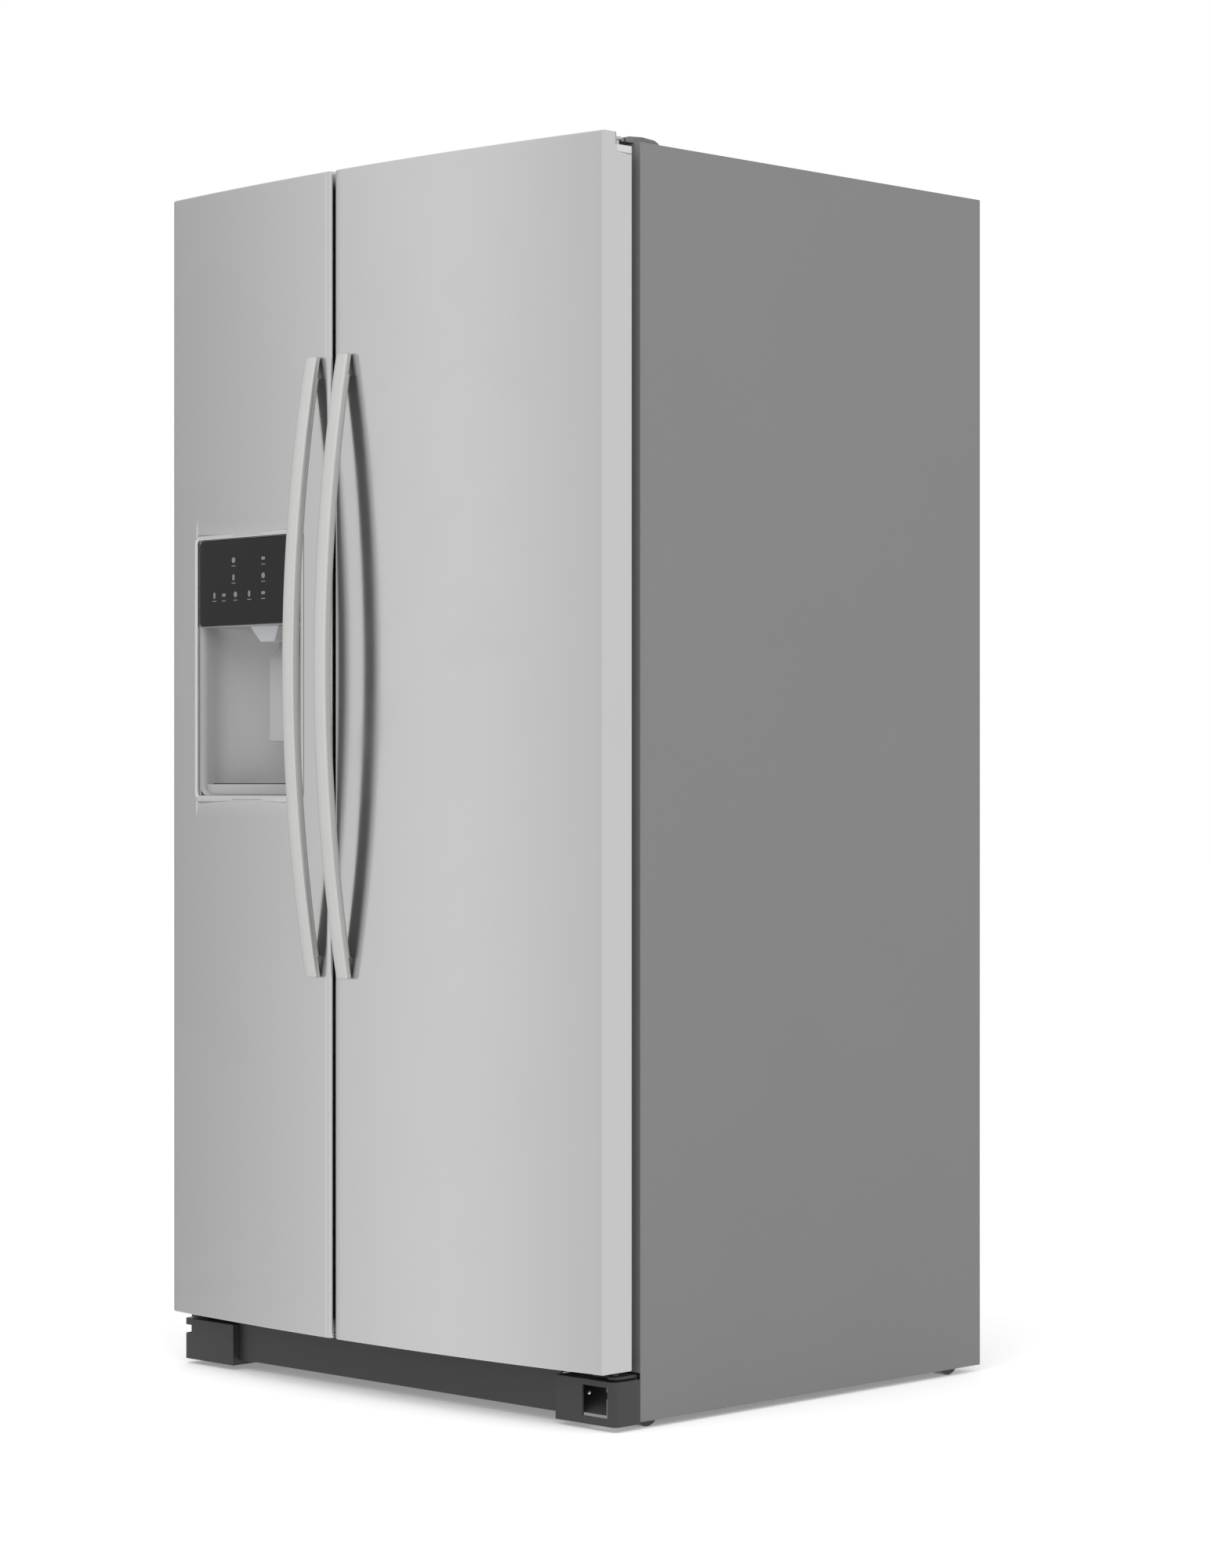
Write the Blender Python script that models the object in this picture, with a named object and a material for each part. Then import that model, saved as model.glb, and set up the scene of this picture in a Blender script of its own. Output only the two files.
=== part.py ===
"""Side by side refrigerator: a freezer and a fridge compartment behind two bowed steel doors.

Metres, +Z up. The front faces -Y, and +X is on the right as seen from the front.
The origin is on the floor, under the middle of the whole refrigerator.
"""

from math import cos, pi, radians, sin

import bmesh
import bpy
from mathutils import Matrix, Vector

# Cabinet
WIDTH = 0.912
HALF_WIDTH = WIDTH / 2
CABINET_FRONT = -0.288
CABINET_BACK = 0.440
CABINET_BOTTOM = 0.010
CABINET_TOP = 1.743
WRAPPER_STEEL = 0.0012
GAP = 0.0003
FOAM_BACK = CABINET_BACK - 0.002

# Compartments: the freezer is on the left, the fridge on the right, with a mullion between them
FREEZER_LEFT, FREEZER_RIGHT = -0.406, -0.0954
FRIDGE_LEFT, FRIDGE_RIGHT = -0.0354, 0.406
CAVITY_FLOOR, CAVITY_TOP = 0.135, 1.690
CAVITY_BACK = 0.375
STEP_BACK, STEP_TOP = 0.150, 0.375
LINER_WALL = 0.002
FRAME_STEEL = 0.0012

# Machine room behind and under the step, and the base frame
ROOM_FRONT, ROOM_TOP = 0.1885, 0.3317
BASE_TOP = 0.073
BASE_STEEL = 0.0015
PAN_BOTTOM = 0.034
RAIL_INNER, RAIL_OUTER = 0.4105, 0.4545
RAIL_BOTTOM = 0.012

# Doors: one convex bow runs over both fronts
GASKET_GAP = 0.017
DOOR_BACK = CABINET_FRONT - GASKET_GAP
DOOR_EDGE_FRONT = -0.358
DOOR_BOW = 0.026
DOOR_BOTTOM, DOOR_TOP = 0.080, 1.752
DOOR_CORNER = 0.007
DOOR_STEEL = 0.001
SPLIT_X, SPLIT_GAP = -0.0654, 0.008
FREEZER_DOOR = (-HALF_WIDTH, SPLIT_X - SPLIT_GAP / 2)
FRIDGE_DOOR = (SPLIT_X + SPLIT_GAP / 2, HALF_WIDTH)
LIP_BACK = -0.3346
SKIN_REAR_TOP = 1.725
CAP_TOP = 1.735
COVER_TOP = 1.7530
BOTTOM_CAP_TOP = 0.100
NOTCH_FRONT, NOTCH_TOP = -0.318, 0.094
LINER_FRONT, LINER_BACK = -0.3047, -0.3027
DYKE_BACK = -0.262
DYKE_BAR = 0.020

# Hinges
HINGE_X = HALF_WIDTH - 0.016
HINGE_Y = -0.320
PIN_RADIUS, PIN_HOLE = 0.005, 0.0054

# Handles
HANDLE_OFFSET = 0.034
HANDLE_WIDTH = 0.024
HANDLE_BOTTOM, HANDLE_TOP = 0.596, 1.487
HANDLE_FRONT, HANDLE_INNER = -0.440, -0.426
HANDLE_END_THICKNESS = 0.0125

# Dispenser in the freezer door
DISPENSER_X = -0.263
OPENING_HALF = 0.124
OPENING_BOTTOM, OPENING_TOP = 0.855, 1.237
PANEL_BOTTOM = 1.108
NICHE_BACK = -0.276
HOUSING_BACK = -0.2735
BULGE_BACK = -0.250
BULGE_X = (-0.399, -0.127)
BULGE_Z = (0.838, 1.252)

# Rollers and levelling screws
ROLLER_RADIUS, ROLLER_WIDTH = 0.022, 0.024
ROLLER_X = 0.4325
FRONT_ROLLER_Y, REAR_ROLLER_Y = -0.262, 0.380
AXLE_RADIUS, ROLLER_BORE = 0.0035, 0.0038
SCREW_X, SCREW_Z = 0.4020, 0.040
COVER_INNER = 0.341
GLAND_X, GLAND_Z = 0.36, 0.09
SIDES = (("left", -1), ("right", 1))
COVER_OPENINGS = {"left": ((0.4385, -0.350, 0.0455), (0.460, -0.312, 0.0585)),
                  "right": ((0.3930, -0.350, 0.018), (0.440, -0.330, 0.060))}

# Shelves and drawers
SHELF_FRONT = -0.168
DRAWER_FRONT = -0.165
DRAWER_WALL = 0.003
FRIDGE_SHELVES = {"crisper_cover": 0.600, "fridge_shelf_lower": 0.930, "fridge_shelf_upper": 1.270}
FREEZER_SHELVES = {"freezer_shelf_lower": 0.900, "freezer_shelf_upper": 1.300}
BIN_BACK, BIN_FRONT = LINER_BACK + GAP, -0.190
BIN_WALL = 0.003


# ---------------------------------------------------------------- building tools

def clear_scene():
    """Remove every object and material, so each run starts empty."""
    for item in list(bpy.data.objects):
        bpy.data.objects.remove(item, do_unlink=True)
    for item in list(bpy.data.materials):
        bpy.data.materials.remove(item)


def finish(name, colour, roughness, metallic=0.0, alpha=1.0):
    """Make a material from a colour, a roughness and a metallic value."""
    material = bpy.data.materials.new(name)
    material.use_nodes = True
    shader = material.node_tree.nodes["Principled BSDF"]
    shader.inputs["Base Color"].default_value = (*colour, 1.0)
    shader.inputs["Roughness"].default_value = roughness
    shader.inputs["Metallic"].default_value = metallic
    shader.inputs["Alpha"].default_value = alpha
    material.diffuse_color = (*colour, alpha)
    return material


def pivot(name, location):
    """Add an empty on a joint's axis, which carries the pieces that turn there."""
    empty = bpy.data.objects.new(name, None)
    empty.location = location
    bpy.context.collection.objects.link(empty)
    return empty


def place(name, data, material, origin=(0, 0, 0), parent=None):
    """Link an object, put its origin at a world point and hang it on its parent."""
    piece = bpy.data.objects.new(name, data)
    bpy.context.collection.objects.link(piece)
    if material:
        data.materials.append(material)
    piece.location = Vector(origin)
    if parent:
        piece.parent = parent
        piece.location = Vector(origin) - parent.location
    return piece


def solid(name, shape, material, origin=(0, 0, 0), parent=None, smooth=False):
    """Turn a bmesh in world coordinates into an object whose origin is at a world point."""
    bmesh.ops.recalc_face_normals(shape, faces=shape.faces)
    bmesh.ops.translate(shape, vec=-Vector(origin), verts=shape.verts)
    mesh = bpy.data.meshes.new(name)
    shape.to_mesh(mesh)
    shape.free()
    if smooth:
        mesh.shade_smooth()
        mesh.set_sharp_from_angle(angle=radians(35))
    return place(name, mesh, material, origin, parent)


def boolean(piece, name, shape, operation):
    """Add or take away a shape, or a ready tool object, with a Boolean modifier."""
    tool = shape if isinstance(shape, bpy.types.Object) else solid(f"tool_{piece.name}_{name}", shape, None)
    tool.hide_render = True
    tool.display_type = "WIRE"
    modifier = piece.modifiers.new(name, "BOOLEAN")
    modifier.operation = operation
    modifier.object = tool


def carved(name, shape, hollow):
    """A tool object with a hollow cut in it, to join to a piece."""
    tool = solid(f"tool_{name}", shape, None)
    tool.hide_render = True
    tool.display_type = "WIRE"
    cut(tool, "hollow", hollow)
    return tool


def cut(piece, name, shape):
    boolean(piece, name, shape, "DIFFERENCE")


def join(piece, name, shape):
    boolean(piece, name, shape, "UNION")


def blocks(*corners, into=None):
    """Boxes, each from its low and its high corner."""
    shape = into or bmesh.new()
    for low, high in corners:
        low, high = Vector(low), Vector(high)
        centre = Matrix.Translation((low + high) / 2)
        size = Matrix.Diagonal((*(high - low), 1.0))
        bmesh.ops.create_cube(shape, size=1.0, matrix=centre @ size)
    return shape


def prism(outline, low, high, axis="z", into=None):
    """An outline in the two other axes, in X, Y, Z order, extruded along one axis."""
    shape = into or bmesh.new()
    order = {"x": lambda a, b: (low, a, b), "y": lambda a, b: (a, low, b), "z": lambda a, b: (a, b, low)}
    corners = [shape.verts.new(order[axis](*point)) for point in outline]
    face = shape.faces.new(corners)
    grown = bmesh.ops.extrude_face_region(shape, geom=[face])
    moved = [item for item in grown["geom"] if isinstance(item, bmesh.types.BMVert)]
    travel = Vector([high - low if letter == axis else 0.0 for letter in "xyz"])
    bmesh.ops.translate(shape, vec=travel, verts=moved)
    return shape


def rods(*spans, radius, sides=16, into=None):
    """Straight round rods, each between two points."""
    shape = into or bmesh.new()
    for start, end in spans:
        start, end = Vector(start), Vector(end)
        turn = (end - start).to_track_quat("Z", "Y").to_matrix().to_4x4()
        middle = Matrix.Translation((start + end) / 2)
        bmesh.ops.create_cone(shape, cap_ends=True, segments=sides, radius1=radius, radius2=radius,
                              depth=(end - start).length, matrix=middle @ turn)
    return shape


def turned(profile, centre, sides=24):
    """A profile of (radius, height) points spun about the vertical line through a centre."""
    shape = bmesh.new()
    ring = [shape.verts.new((centre[0] + radius, centre[1], height)) for radius, height in profile]
    edges = [shape.edges.new(pair) for pair in zip(ring, ring[1:])]
    bmesh.ops.spin(shape, geom=ring + edges, cent=(centre[0], centre[1], 0), axis=(0, 0, 1),
                   angle=2 * pi, steps=sides, use_merge=True)
    bmesh.ops.remove_doubles(shape, verts=shape.verts, dist=0.00005)
    return shape


def tub(low, high, wall):
    """The hollow of an open-topped box with walls of one thickness, as a cutting shape."""
    return ((low[0] + wall, low[1] + wall, low[2] + wall), (high[0] - wall, high[1] - wall, high[2] + 0.01))


def sided(sign, low, high):
    """A box given for the right side, or its mirror image for the left one."""
    if sign > 0:
        return low, high
    return (-high[0], low[1], low[2]), (-low[0], high[1], high[2])


# ---------------------------------------------------------------- cabinet

def cabinet(paint, foam_white, plastic, steel):
    """The painted wrapper with its front flange, the foam, the liners, and the covers at the back."""
    x, top, t = HALF_WIDTH, CABINET_TOP, WRAPPER_STEEL
    inner_x, inner_top = x - t, top - t
    sheet = [(-x, CABINET_BOTTOM), (-x, top), (x, top), (x, CABINET_BOTTOM), (inner_x, CABINET_BOTTOM),
             (inner_x, inner_top), (-inner_x, inner_top), (-inner_x, CABINET_BOTTOM)]
    wrapper = solid("cabinet_wrapper", prism(sheet, CABINET_FRONT, CABINET_BACK, "y"), paint)
    base = BASE_TOP + 0.003
    flange_back = CABINET_FRONT + FRAME_STEEL
    join(wrapper, "flange", blocks(((-x + t / 2, CABINET_FRONT, base),
                                    (x - t / 2, flange_back, top - t / 2))))
    windows = [((left, CABINET_FRONT - 0.01, CAVITY_FLOOR), (right, flange_back + 0.01, CAVITY_TOP))
               for left, right in ((FREEZER_LEFT, FREEZER_RIGHT), (FRIDGE_LEFT, FRIDGE_RIGHT))]
    cut(wrapper, "windows", blocks(*windows))

    fit_x, fit_top, front = inner_x - GAP, inner_top - GAP, flange_back + GAP
    liner("freezer_liner", FREEZER_LEFT, FREEZER_RIGHT, front, plastic)
    liner("fridge_liner", FRIDGE_LEFT, FRIDGE_RIGHT, front, plastic)
    outer = [(front, base), (ROOM_FRONT, base), (ROOM_FRONT, ROOM_TOP), (FOAM_BACK, ROOM_TOP),
             (FOAM_BACK, fit_top), (front, fit_top)]
    foam = solid("cabinet_foam", prism(outer, -fit_x, fit_x, "x"), foam_white)
    grow = LINER_WALL + GAP
    hollow = prism(cavity_side(grow, front - 0.01), FREEZER_LEFT - grow, FREEZER_RIGHT + grow, "x")
    cut(foam, "hollows", prism(cavity_side(grow, front - 0.01), FRIDGE_LEFT - grow, FRIDGE_RIGHT + grow, "x",
                               into=hollow))

    panel_front = FOAM_BACK + GAP
    panel_back = panel_front + FRAME_STEEL
    solid("back_panel", blocks(((-fit_x, panel_front, ROOM_TOP + GAP), (fit_x, panel_back, fit_top))), steel)
    cover = solid("machine_cover",
                  blocks(((-fit_x, panel_front, PAN_BOTTOM), (fit_x, panel_back, ROOM_TOP))), plastic)
    slots = [((-0.36 + 0.05 * step, panel_front - 0.01, low),
              (-0.33 + 0.05 * step, panel_back + 0.01, low + 0.008))
             for step in range(11) for low in (0.14, 0.18, 0.22, 0.26)]
    cut(cover, "slots", blocks(*slots))
    x, z = GLAND_X, GLAND_Z
    join(cover, "gland", rods(((x, panel_front - 0.010, z), (x, CABINET_BACK, z)), radius=0.0115, sides=20))
    cut(cover, "gland_bore", rods(((x, panel_front - 0.02, z), (x, CABINET_BACK + 0.01, z)), radius=0.0042,
                                  sides=12))


def cavity_side(grow, mouth):
    """Side view of a compartment, grown by a wall: a tub with its floor raised at the back."""
    return [(mouth, CAVITY_FLOOR - grow), (STEP_BACK + grow, CAVITY_FLOOR - grow),
            (STEP_BACK + grow, STEP_TOP - grow), (CAVITY_BACK + grow, STEP_TOP - grow),
            (CAVITY_BACK + grow, CAVITY_TOP + grow), (mouth, CAVITY_TOP + grow)]


def liner(name, left, right, front, plastic):
    """The moulded tub of one compartment."""
    wall = LINER_WALL
    piece = solid(name, prism(cavity_side(wall, front), left - wall, right + wall, "x"), plastic)
    cut(piece, "inside", prism(cavity_side(0, front - 0.01), left, right, "x"))


def base_frame(steel):
    """Two roller rails joined by a folded pan, with the roller axles and the screw bosses."""
    t, low, top = BASE_STEEL, RAIL_BOTTOM, BASE_TOP
    front, back = CABINET_FRONT + 0.0015, CABINET_BACK - 0.0035
    rail = [(RAIL_INNER, low), (RAIL_INNER, top), (RAIL_OUTER, top), (RAIL_OUTER, low),
            (RAIL_OUTER - t, low), (RAIL_OUTER - t, top - t), (RAIL_INNER + t, top - t),
            (RAIL_INNER + t, low)]
    mirrored = [(-x, z) for x, z in rail]
    piece = solid("base_frame", prism(mirrored, front, back, "y", into=prism(rail, front, back, "y")), steel)
    riser = ROOM_FRONT + GAP
    fold = [(front, top - t), (riser, top - t), (riser, PAN_BOTTOM), (back, PAN_BOTTOM),
            (back, PAN_BOTTOM + t),
            (riser + t, PAN_BOTTOM + t), (riser + t, top), (front, top)]
    join(piece, "pan", prism(fold, -RAIL_INNER - t / 2, RAIL_INNER + t / 2, "x"))
    axles = [((side * (RAIL_INNER + t / 2), y, ROLLER_RADIUS),
              (side * (RAIL_OUTER - t / 2), y, ROLLER_RADIUS))
             for side in (-1, 1) for y in (FRONT_ROLLER_Y, REAR_ROLLER_Y)]
    join(piece, "axles", rods(*axles, radius=AXLE_RADIUS, sides=12))
    for side, sign in SIDES:
        join(piece, f"boss_{side}", blocks(sided(sign, (SCREW_X - 0.008, front + 0.0005, 0.026),
                                                 (RAIL_INNER + t / 2, front + 0.0105, top - t / 2))))
    bores = [((side * SCREW_X, front - 0.01, SCREW_Z), (side * SCREW_X, front + 0.02, SCREW_Z))
             for side in (-1, 1)]
    cut(piece, "bores", rods(*bores, radius=0.0044, sides=12))


def rollers_and_screws(rubber, steel):
    """Four rollers on their axles, and the two screws that set the front ones' height."""
    for end, y in (("front", FRONT_ROLLER_Y), ("rear", REAR_ROLLER_Y)):
        for side, sign in SIDES:
            centre = (sign * ROLLER_X, y, ROLLER_RADIUS)
            half = Vector((ROLLER_WIDTH / 2, 0, 0))
            ends = (Vector(centre) - half, Vector(centre) + half)
            wheel = solid(f"{end}_roller_{side}", rods(ends, radius=ROLLER_RADIUS, sides=32), rubber,
                          origin=centre, smooth=True)
            cut(wheel, "bore", rods((ends[0] - half, ends[1] + half), radius=ROLLER_BORE, sides=12))
    for side, sign in SIDES:
        x, head = sign * SCREW_X, -0.2955
        screw = solid(f"levelling_screw_{side}", rods(((x, head + 0.003, SCREW_Z), (x, -0.250, SCREW_Z)),
                                                      radius=0.004, sides=12), steel,
                                                      origin=(x, head, SCREW_Z))
        join(screw, "head", rods(((x, head, SCREW_Z), (x, head + 0.006, SCREW_Z)), radius=0.0065, sides=6))


def corner_cover_outline(sign, inset):
    """Plan of a corner cover: straight front, round outer corner, straight side."""
    radius, front, inner = 0.008, -0.336, COVER_INNER
    centre = (HALF_WIDTH - radius, front + radius)
    arc = [(centre[0] + (radius - inset) * cos(a), centre[1] + (radius - inset) * sin(a))
           for a in (radians(-90 + 15 * step) for step in range(7))]
    points = [(inner + inset, front + inset)] + arc
    return [(sign * x, y) for x, y in points]


def base_covers(black):
    """The central base strip and the two corner covers, open at the right for screw and roller."""
    top, bottom, wall, rear = 0.068, 0.0075, 0.003, CABINET_FRONT - GAP
    for side, sign in SIDES:
        tail = [(sign * HALF_WIDTH, rear), (sign * COVER_INNER, rear)]
        piece = solid(f"corner_cover_{side}", prism(corner_cover_outline(sign, 0) + tail, bottom, top), black)
        tail = [(sign * (HALF_WIDTH - wall), 0.0), (sign * (COVER_INNER + wall), 0.0)]
        cut(piece, "inside", prism(corner_cover_outline(sign, wall) + tail, -0.01, top - 0.0025))
        cut(piece, "opening", blocks(sided(sign, *COVER_OPENINGS[side])))
        cut(piece, "hinge_room", blocks(sided(sign, (0.3445, -0.2925, 0.0), (0.4525, 0.0, 0.10))))

    left, right, front, sill, head = -0.3405, 0.3405, -0.324, 0.015, 0.072
    profile = [(front, sill), (front, head), (rear, head), (rear, head - wall), (front + wall, head - wall),
               (front + wall, sill + wall), (front + 0.012, sill + wall), (front + 0.012, sill)]
    solid("base_grille", prism(profile, left, right, "x"), black)


def hinges(steel, grey):
    """Top and bottom hinge plates with their pins, and the covers over the top hinges."""
    low, high = CABINET_TOP + GAP, CABINET_TOP + GAP + 0.004
    bottom_low, bottom_high = 0.0700, 0.0745
    arm = (HINGE_X - 0.030, HINGE_X + 0.0005)
    nose = [(HINGE_X + 0.011 * cos(a), HINGE_Y + 0.011 * sin(a))
            for a in (radians(180 + 22.5 * s) for s in range(9))]
    top_plan = nose + [(arm[1] + 0.0005, -0.3095), (arm[1], -0.3085), (arm[1], -0.245), (0.395, -0.245),
                       (0.395, -0.290), (arm[0], -0.300), (arm[0], HINGE_Y)]
    bottom_plan = nose + [(HINGE_X + 0.011, -0.2887), (0.400, -0.2887), (0.400, HINGE_Y - 0.004)]
    for side, sign in SIDES:
        pin = sign * HINGE_X
        piece = solid(f"top_hinge_{side}", prism([(sign * x, y) for x, y in top_plan], low, high), steel)
        join(piece, "pin", rods(((pin, HINGE_Y, 1.709), (pin, HINGE_Y, low + 0.002)), radius=PIN_RADIUS))
        crown = [(-0.302, low), (-0.302, 1.7495), (-0.296, 1.7512), (-0.270, COVER_TOP), (-0.246, 1.7512),
                 (-0.238, 1.7475),
                 (-0.238, low)]
        across = sorted((sign * 0.386, sign * 0.4425))
        piece = solid(f"hinge_cover_{side}", prism(crown, *across, "x"), grey)
        cut(piece, "inside", blocks(sided(sign, (0.3876, -0.3004, 1.74), (0.4409, -0.2396, 1.7480))))
        cut(piece, "mouth", blocks(sided(sign, (arm[0] - 0.0005, -0.31, 1.74), (0.4409, -0.299, high + GAP))))
        piece = solid(f"bottom_hinge_{side}",
                      prism([(sign * x, y) for x, y in bottom_plan], bottom_low, bottom_high), steel)
        join(piece, "pin", rods(((pin, HINGE_Y, bottom_low + 0.002), (pin, HINGE_Y, 0.096)),
                                radius=PIN_RADIUS))
        join(piece, "flange", blocks(sided(sign, (0.4135, -0.2917, 0.050),
                                           (HINGE_X + 0.011, -0.2887, bottom_low + 0.002))))


# ---------------------------------------------------------------- doors

def door_front(x):
    """Y of the bowed front at a given x. Both doors share one bow."""
    return DOOR_EDGE_FRONT - DOOR_BOW * (1 - (x / HALF_WIDTH) ** 2)


def front_line(left, right, offset, steps):
    """Points along the bow from left to right, moved back from the surface by an offset."""
    return [(x, door_front(x) + offset)
            for x in (left + (right - left) * s / steps for s in range(steps + 1))]


def door_outline(door, inset, back, steps=10):
    """Plan of a door with round front corners, moved inwards by an inset, with a straight back."""
    left, right = door
    radius = DOOR_CORNER
    turns = [radians(22.5 * step) for step in range(4)]
    left_y = door_front(left + radius) + radius
    right_y = door_front(right - radius) + radius
    first = [(left + radius - (radius - inset) * cos(a), left_y - (radius - inset) * sin(a)) for a in turns]
    last = [(right - radius + (radius - inset) * cos(a), right_y - (radius - inset) * sin(a))
            for a in reversed(turns)]
    middle = front_line(left + radius, right - radius, inset, steps)
    return [(left + inset, back)] + first + middle + last + [(right - inset, back)]


def hinge_side(door):
    """The sign of x on a door's hinge side."""
    return 1 if door is FRIDGE_DOOR else -1


def door_skin(name, door, steel, pivots):
    """The folded steel sheet of one door: front, two sides and narrow returns at the back."""
    t, left, right = DOOR_STEEL, *door
    side = hinge_side(door)
    outer = door_outline(door, 0, DOOR_BACK)
    inner = door_outline(door, t, DOOR_BACK - t)
    sheet = ([(left + 0.010, DOOR_BACK)] + outer + [(right - 0.010, DOOR_BACK),
                                                    (right - 0.010, DOOR_BACK - t)]
             + inner[::-1] + [(left + 0.010, DOOR_BACK - t)])
    piece = solid(name, prism(sheet, DOOR_BOTTOM, DOOR_TOP), steel, *pivots)
    cut(piece, "top_step", blocks(((left - 0.01, LIP_BACK, SKIN_REAR_TOP),
                                   (right + 0.01, 0, DOOR_TOP + 0.01))))
    edge = sorted((side * (HINGE_X - 0.001), side * (HALF_WIDTH + 0.01)))
    cut(piece, "notch", blocks(((edge[0], NOTCH_FRONT, 0), (edge[1], 0, NOTCH_TOP))))
    return piece


def door_caps(name, door, grey, pivots):
    """The moulded end caps: a plug at each end of the door, with the holes for the hinge pins."""
    left, right = door
    side = hinge_side(door)
    pin = side * HINGE_X
    inset, back = DOOR_STEEL + GAP, DOOR_BACK - DOOR_STEEL - GAP
    plan = door_outline(door, inset, back)
    top = solid(f"{name}_top", prism(plan, 1.700, DOOR_TOP - 0.0005), grey, *pivots)
    cut(top, "step", blocks(((left - 0.01, LIP_BACK - GAP, CAP_TOP), (right + 0.01, 0, DOOR_TOP + 0.01))))
    join(top, "ledge", blocks(((left, LIP_BACK + GAP, SKIN_REAR_TOP + GAP),
                               (right, DOOR_BACK, CAP_TOP - 0.00005))))
    cut(top, "pin_hole", rods(((pin, HINGE_Y, 1.705), (pin, HINGE_Y, 1.76)), radius=PIN_HOLE))
    bottom = solid(f"{name}_bottom", prism(plan, DOOR_BOTTOM + 0.0005, BOTTOM_CAP_TOP), grey, *pivots)
    stop = sided(side, (HINGE_X + 0.002, NOTCH_FRONT + GAP, DOOR_BOTTOM + 0.001),
                 (HALF_WIDTH - 0.0005, DOOR_BACK, NOTCH_TOP - GAP))
    join(bottom, "stop", blocks(stop))
    cut(bottom, "pin_hole", rods(((pin, HINGE_Y, 0.07), (pin, HINGE_Y, 0.098)), radius=PIN_HOLE))


def gasket_frame(door):
    """The outer and inner edges of a door's gasket, in x."""
    left, right = door
    if door is FRIDGE_DOOR:
        return (left + 0.006, HINGE_X - 0.002), (left + 0.020, HINGE_X - 0.016)
    return (-HINGE_X + 0.002, right - 0.006), (-HINGE_X + 0.016, right - 0.020)


def door_gasket(name, door, rubber, pivots):
    """The magnetic seal, a flat frame between the door and the front frame."""
    (left, right), (inner_left, inner_right) = gasket_frame(door)
    front, back = DOOR_BACK + GAP, CABINET_FRONT - 0.0005
    piece = solid(name, blocks(((left, front, 0.098), (right, back, 1.728))), rubber, *pivots)
    cut(piece, "window", blocks(((inner_left, front - 0.01, 0.112), (inner_right, back + 0.01, 1.714))))


def door_liner(name, door, dyke, plastic, pivots, bulge=False):
    """The moulded inner sheet with its raised dyke and the dispenser's bulge."""
    inner_left, inner_right = gasket_frame(door)[1]
    left, right = dyke
    low, high, bar = 0.147, 1.678, DYKE_BAR
    sheet = blocks(((inner_left + 0.0005, LINER_FRONT, 0.1125), (inner_right - 0.0005, LINER_BACK, 1.7135)))
    piece = solid(name, sheet, plastic, *pivots)
    ring = blocks(((left, LINER_FRONT + 0.001, low), (right, DYKE_BACK, high)))
    middle = blocks(((left + bar, -0.4, low + bar), (right - bar, 0, high - bar)))
    join(piece, "dyke", carved(f"{name}_dyke", ring, middle))
    if bulge:
        (x0, x1), (z0, z1) = BULGE_X, BULGE_Z
        join(piece, "bulge", blocks(((x0, LINER_FRONT + 0.0005, z0), (x1, BULGE_BACK, z1))))
        cut(piece, "bulge_inside",
            blocks(((x0 + 0.002, -0.40, z0 + 0.002), (x1 - 0.002, BULGE_BACK - 0.002, z1 - 0.002))))


def door_bins(name, dyke, levels, plastic, pivots):
    """Open bins one above the other, held together by a slim rail at each side."""
    left, right = dyke[0] + DYKE_BAR + GAP, dyke[1] - DYKE_BAR - GAP
    bottom, top = levels[0][0], levels[-1][1]
    near, far = BULGE_BACK + 0.0005, BULGE_BACK + 0.0105
    rails = blocks(((left, near, bottom), (left + BIN_WALL, far, top)),
                   ((right - BIN_WALL, near, bottom), (right, far, top)))
    piece = solid(name, rails, plastic, *pivots)
    spans = [((left, BIN_BACK, base), (right, BIN_FRONT, rim)) for base, rim in levels]
    join(piece, "tubs", carved(f"{name}_tubs", blocks(*spans),
                               blocks(*[tub(*span, BIN_WALL) for span in spans])))


def handle(name, centre, metal, pivots):
    """A flat bar in a shallow arc, standing off the door in the middle and touching it at its ends."""
    left, right = centre - HANDLE_WIDTH / 2, centre + HANDLE_WIDTH / 2
    middle, half = (HANDLE_BOTTOM + HANDLE_TOP) / 2, (HANDLE_TOP - HANDLE_BOTTOM) / 2
    seat = min(door_front(left), door_front(right)) - GAP
    steps = 20

    def arc(end, crown):
        heights = [HANDLE_BOTTOM + 2 * half * s / steps for s in range(steps + 1)]
        return [(end + (crown - end) * (1 - ((z - middle) / half) ** 2), z) for z in heights]

    outline = arc(seat - HANDLE_END_THICKNESS, HANDLE_FRONT) + arc(seat, HANDLE_INNER)[::-1]
    solid(name, prism(outline, left, right, "x"), metal, *pivots)


def door_foam(name, door, foam_white, pivots, hole=None):
    """Foam behind the steel. Round the dispenser it fills the liner's bulge and leaves the recess free."""
    inset = DOOR_STEEL + 2 * GAP
    outline = door_outline(door, inset, DOOR_BACK - DOOR_STEEL - GAP)
    piece = solid(name, prism(outline, BOTTOM_CAP_TOP + GAP, 1.700 - GAP), foam_white, *pivots)
    if hole is None:
        return
    wall = 0.0025
    join(piece, "bulge", blocks(((BULGE_X[0] + wall, -0.320, BULGE_Z[0] + wall),
                                 (BULGE_X[1] - wall, BULGE_BACK - wall, BULGE_Z[1] - wall))))
    (x0, x1), (z0, z1) = hole
    cut(piece, "recess", blocks(((x0, -0.5, z0), (x1, HOUSING_BACK + 0.0005, z1))))


# ---------------------------------------------------------------- dispenser

def band(left, right, low, high, near, far, into=None):
    """A block whose front and back follow the door's bow, between two offsets from the surface."""
    plan = front_line(left, right, near, 6) + front_line(left, right, far, 6)[::-1]
    return prism(plan, low, high, into=into)


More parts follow.
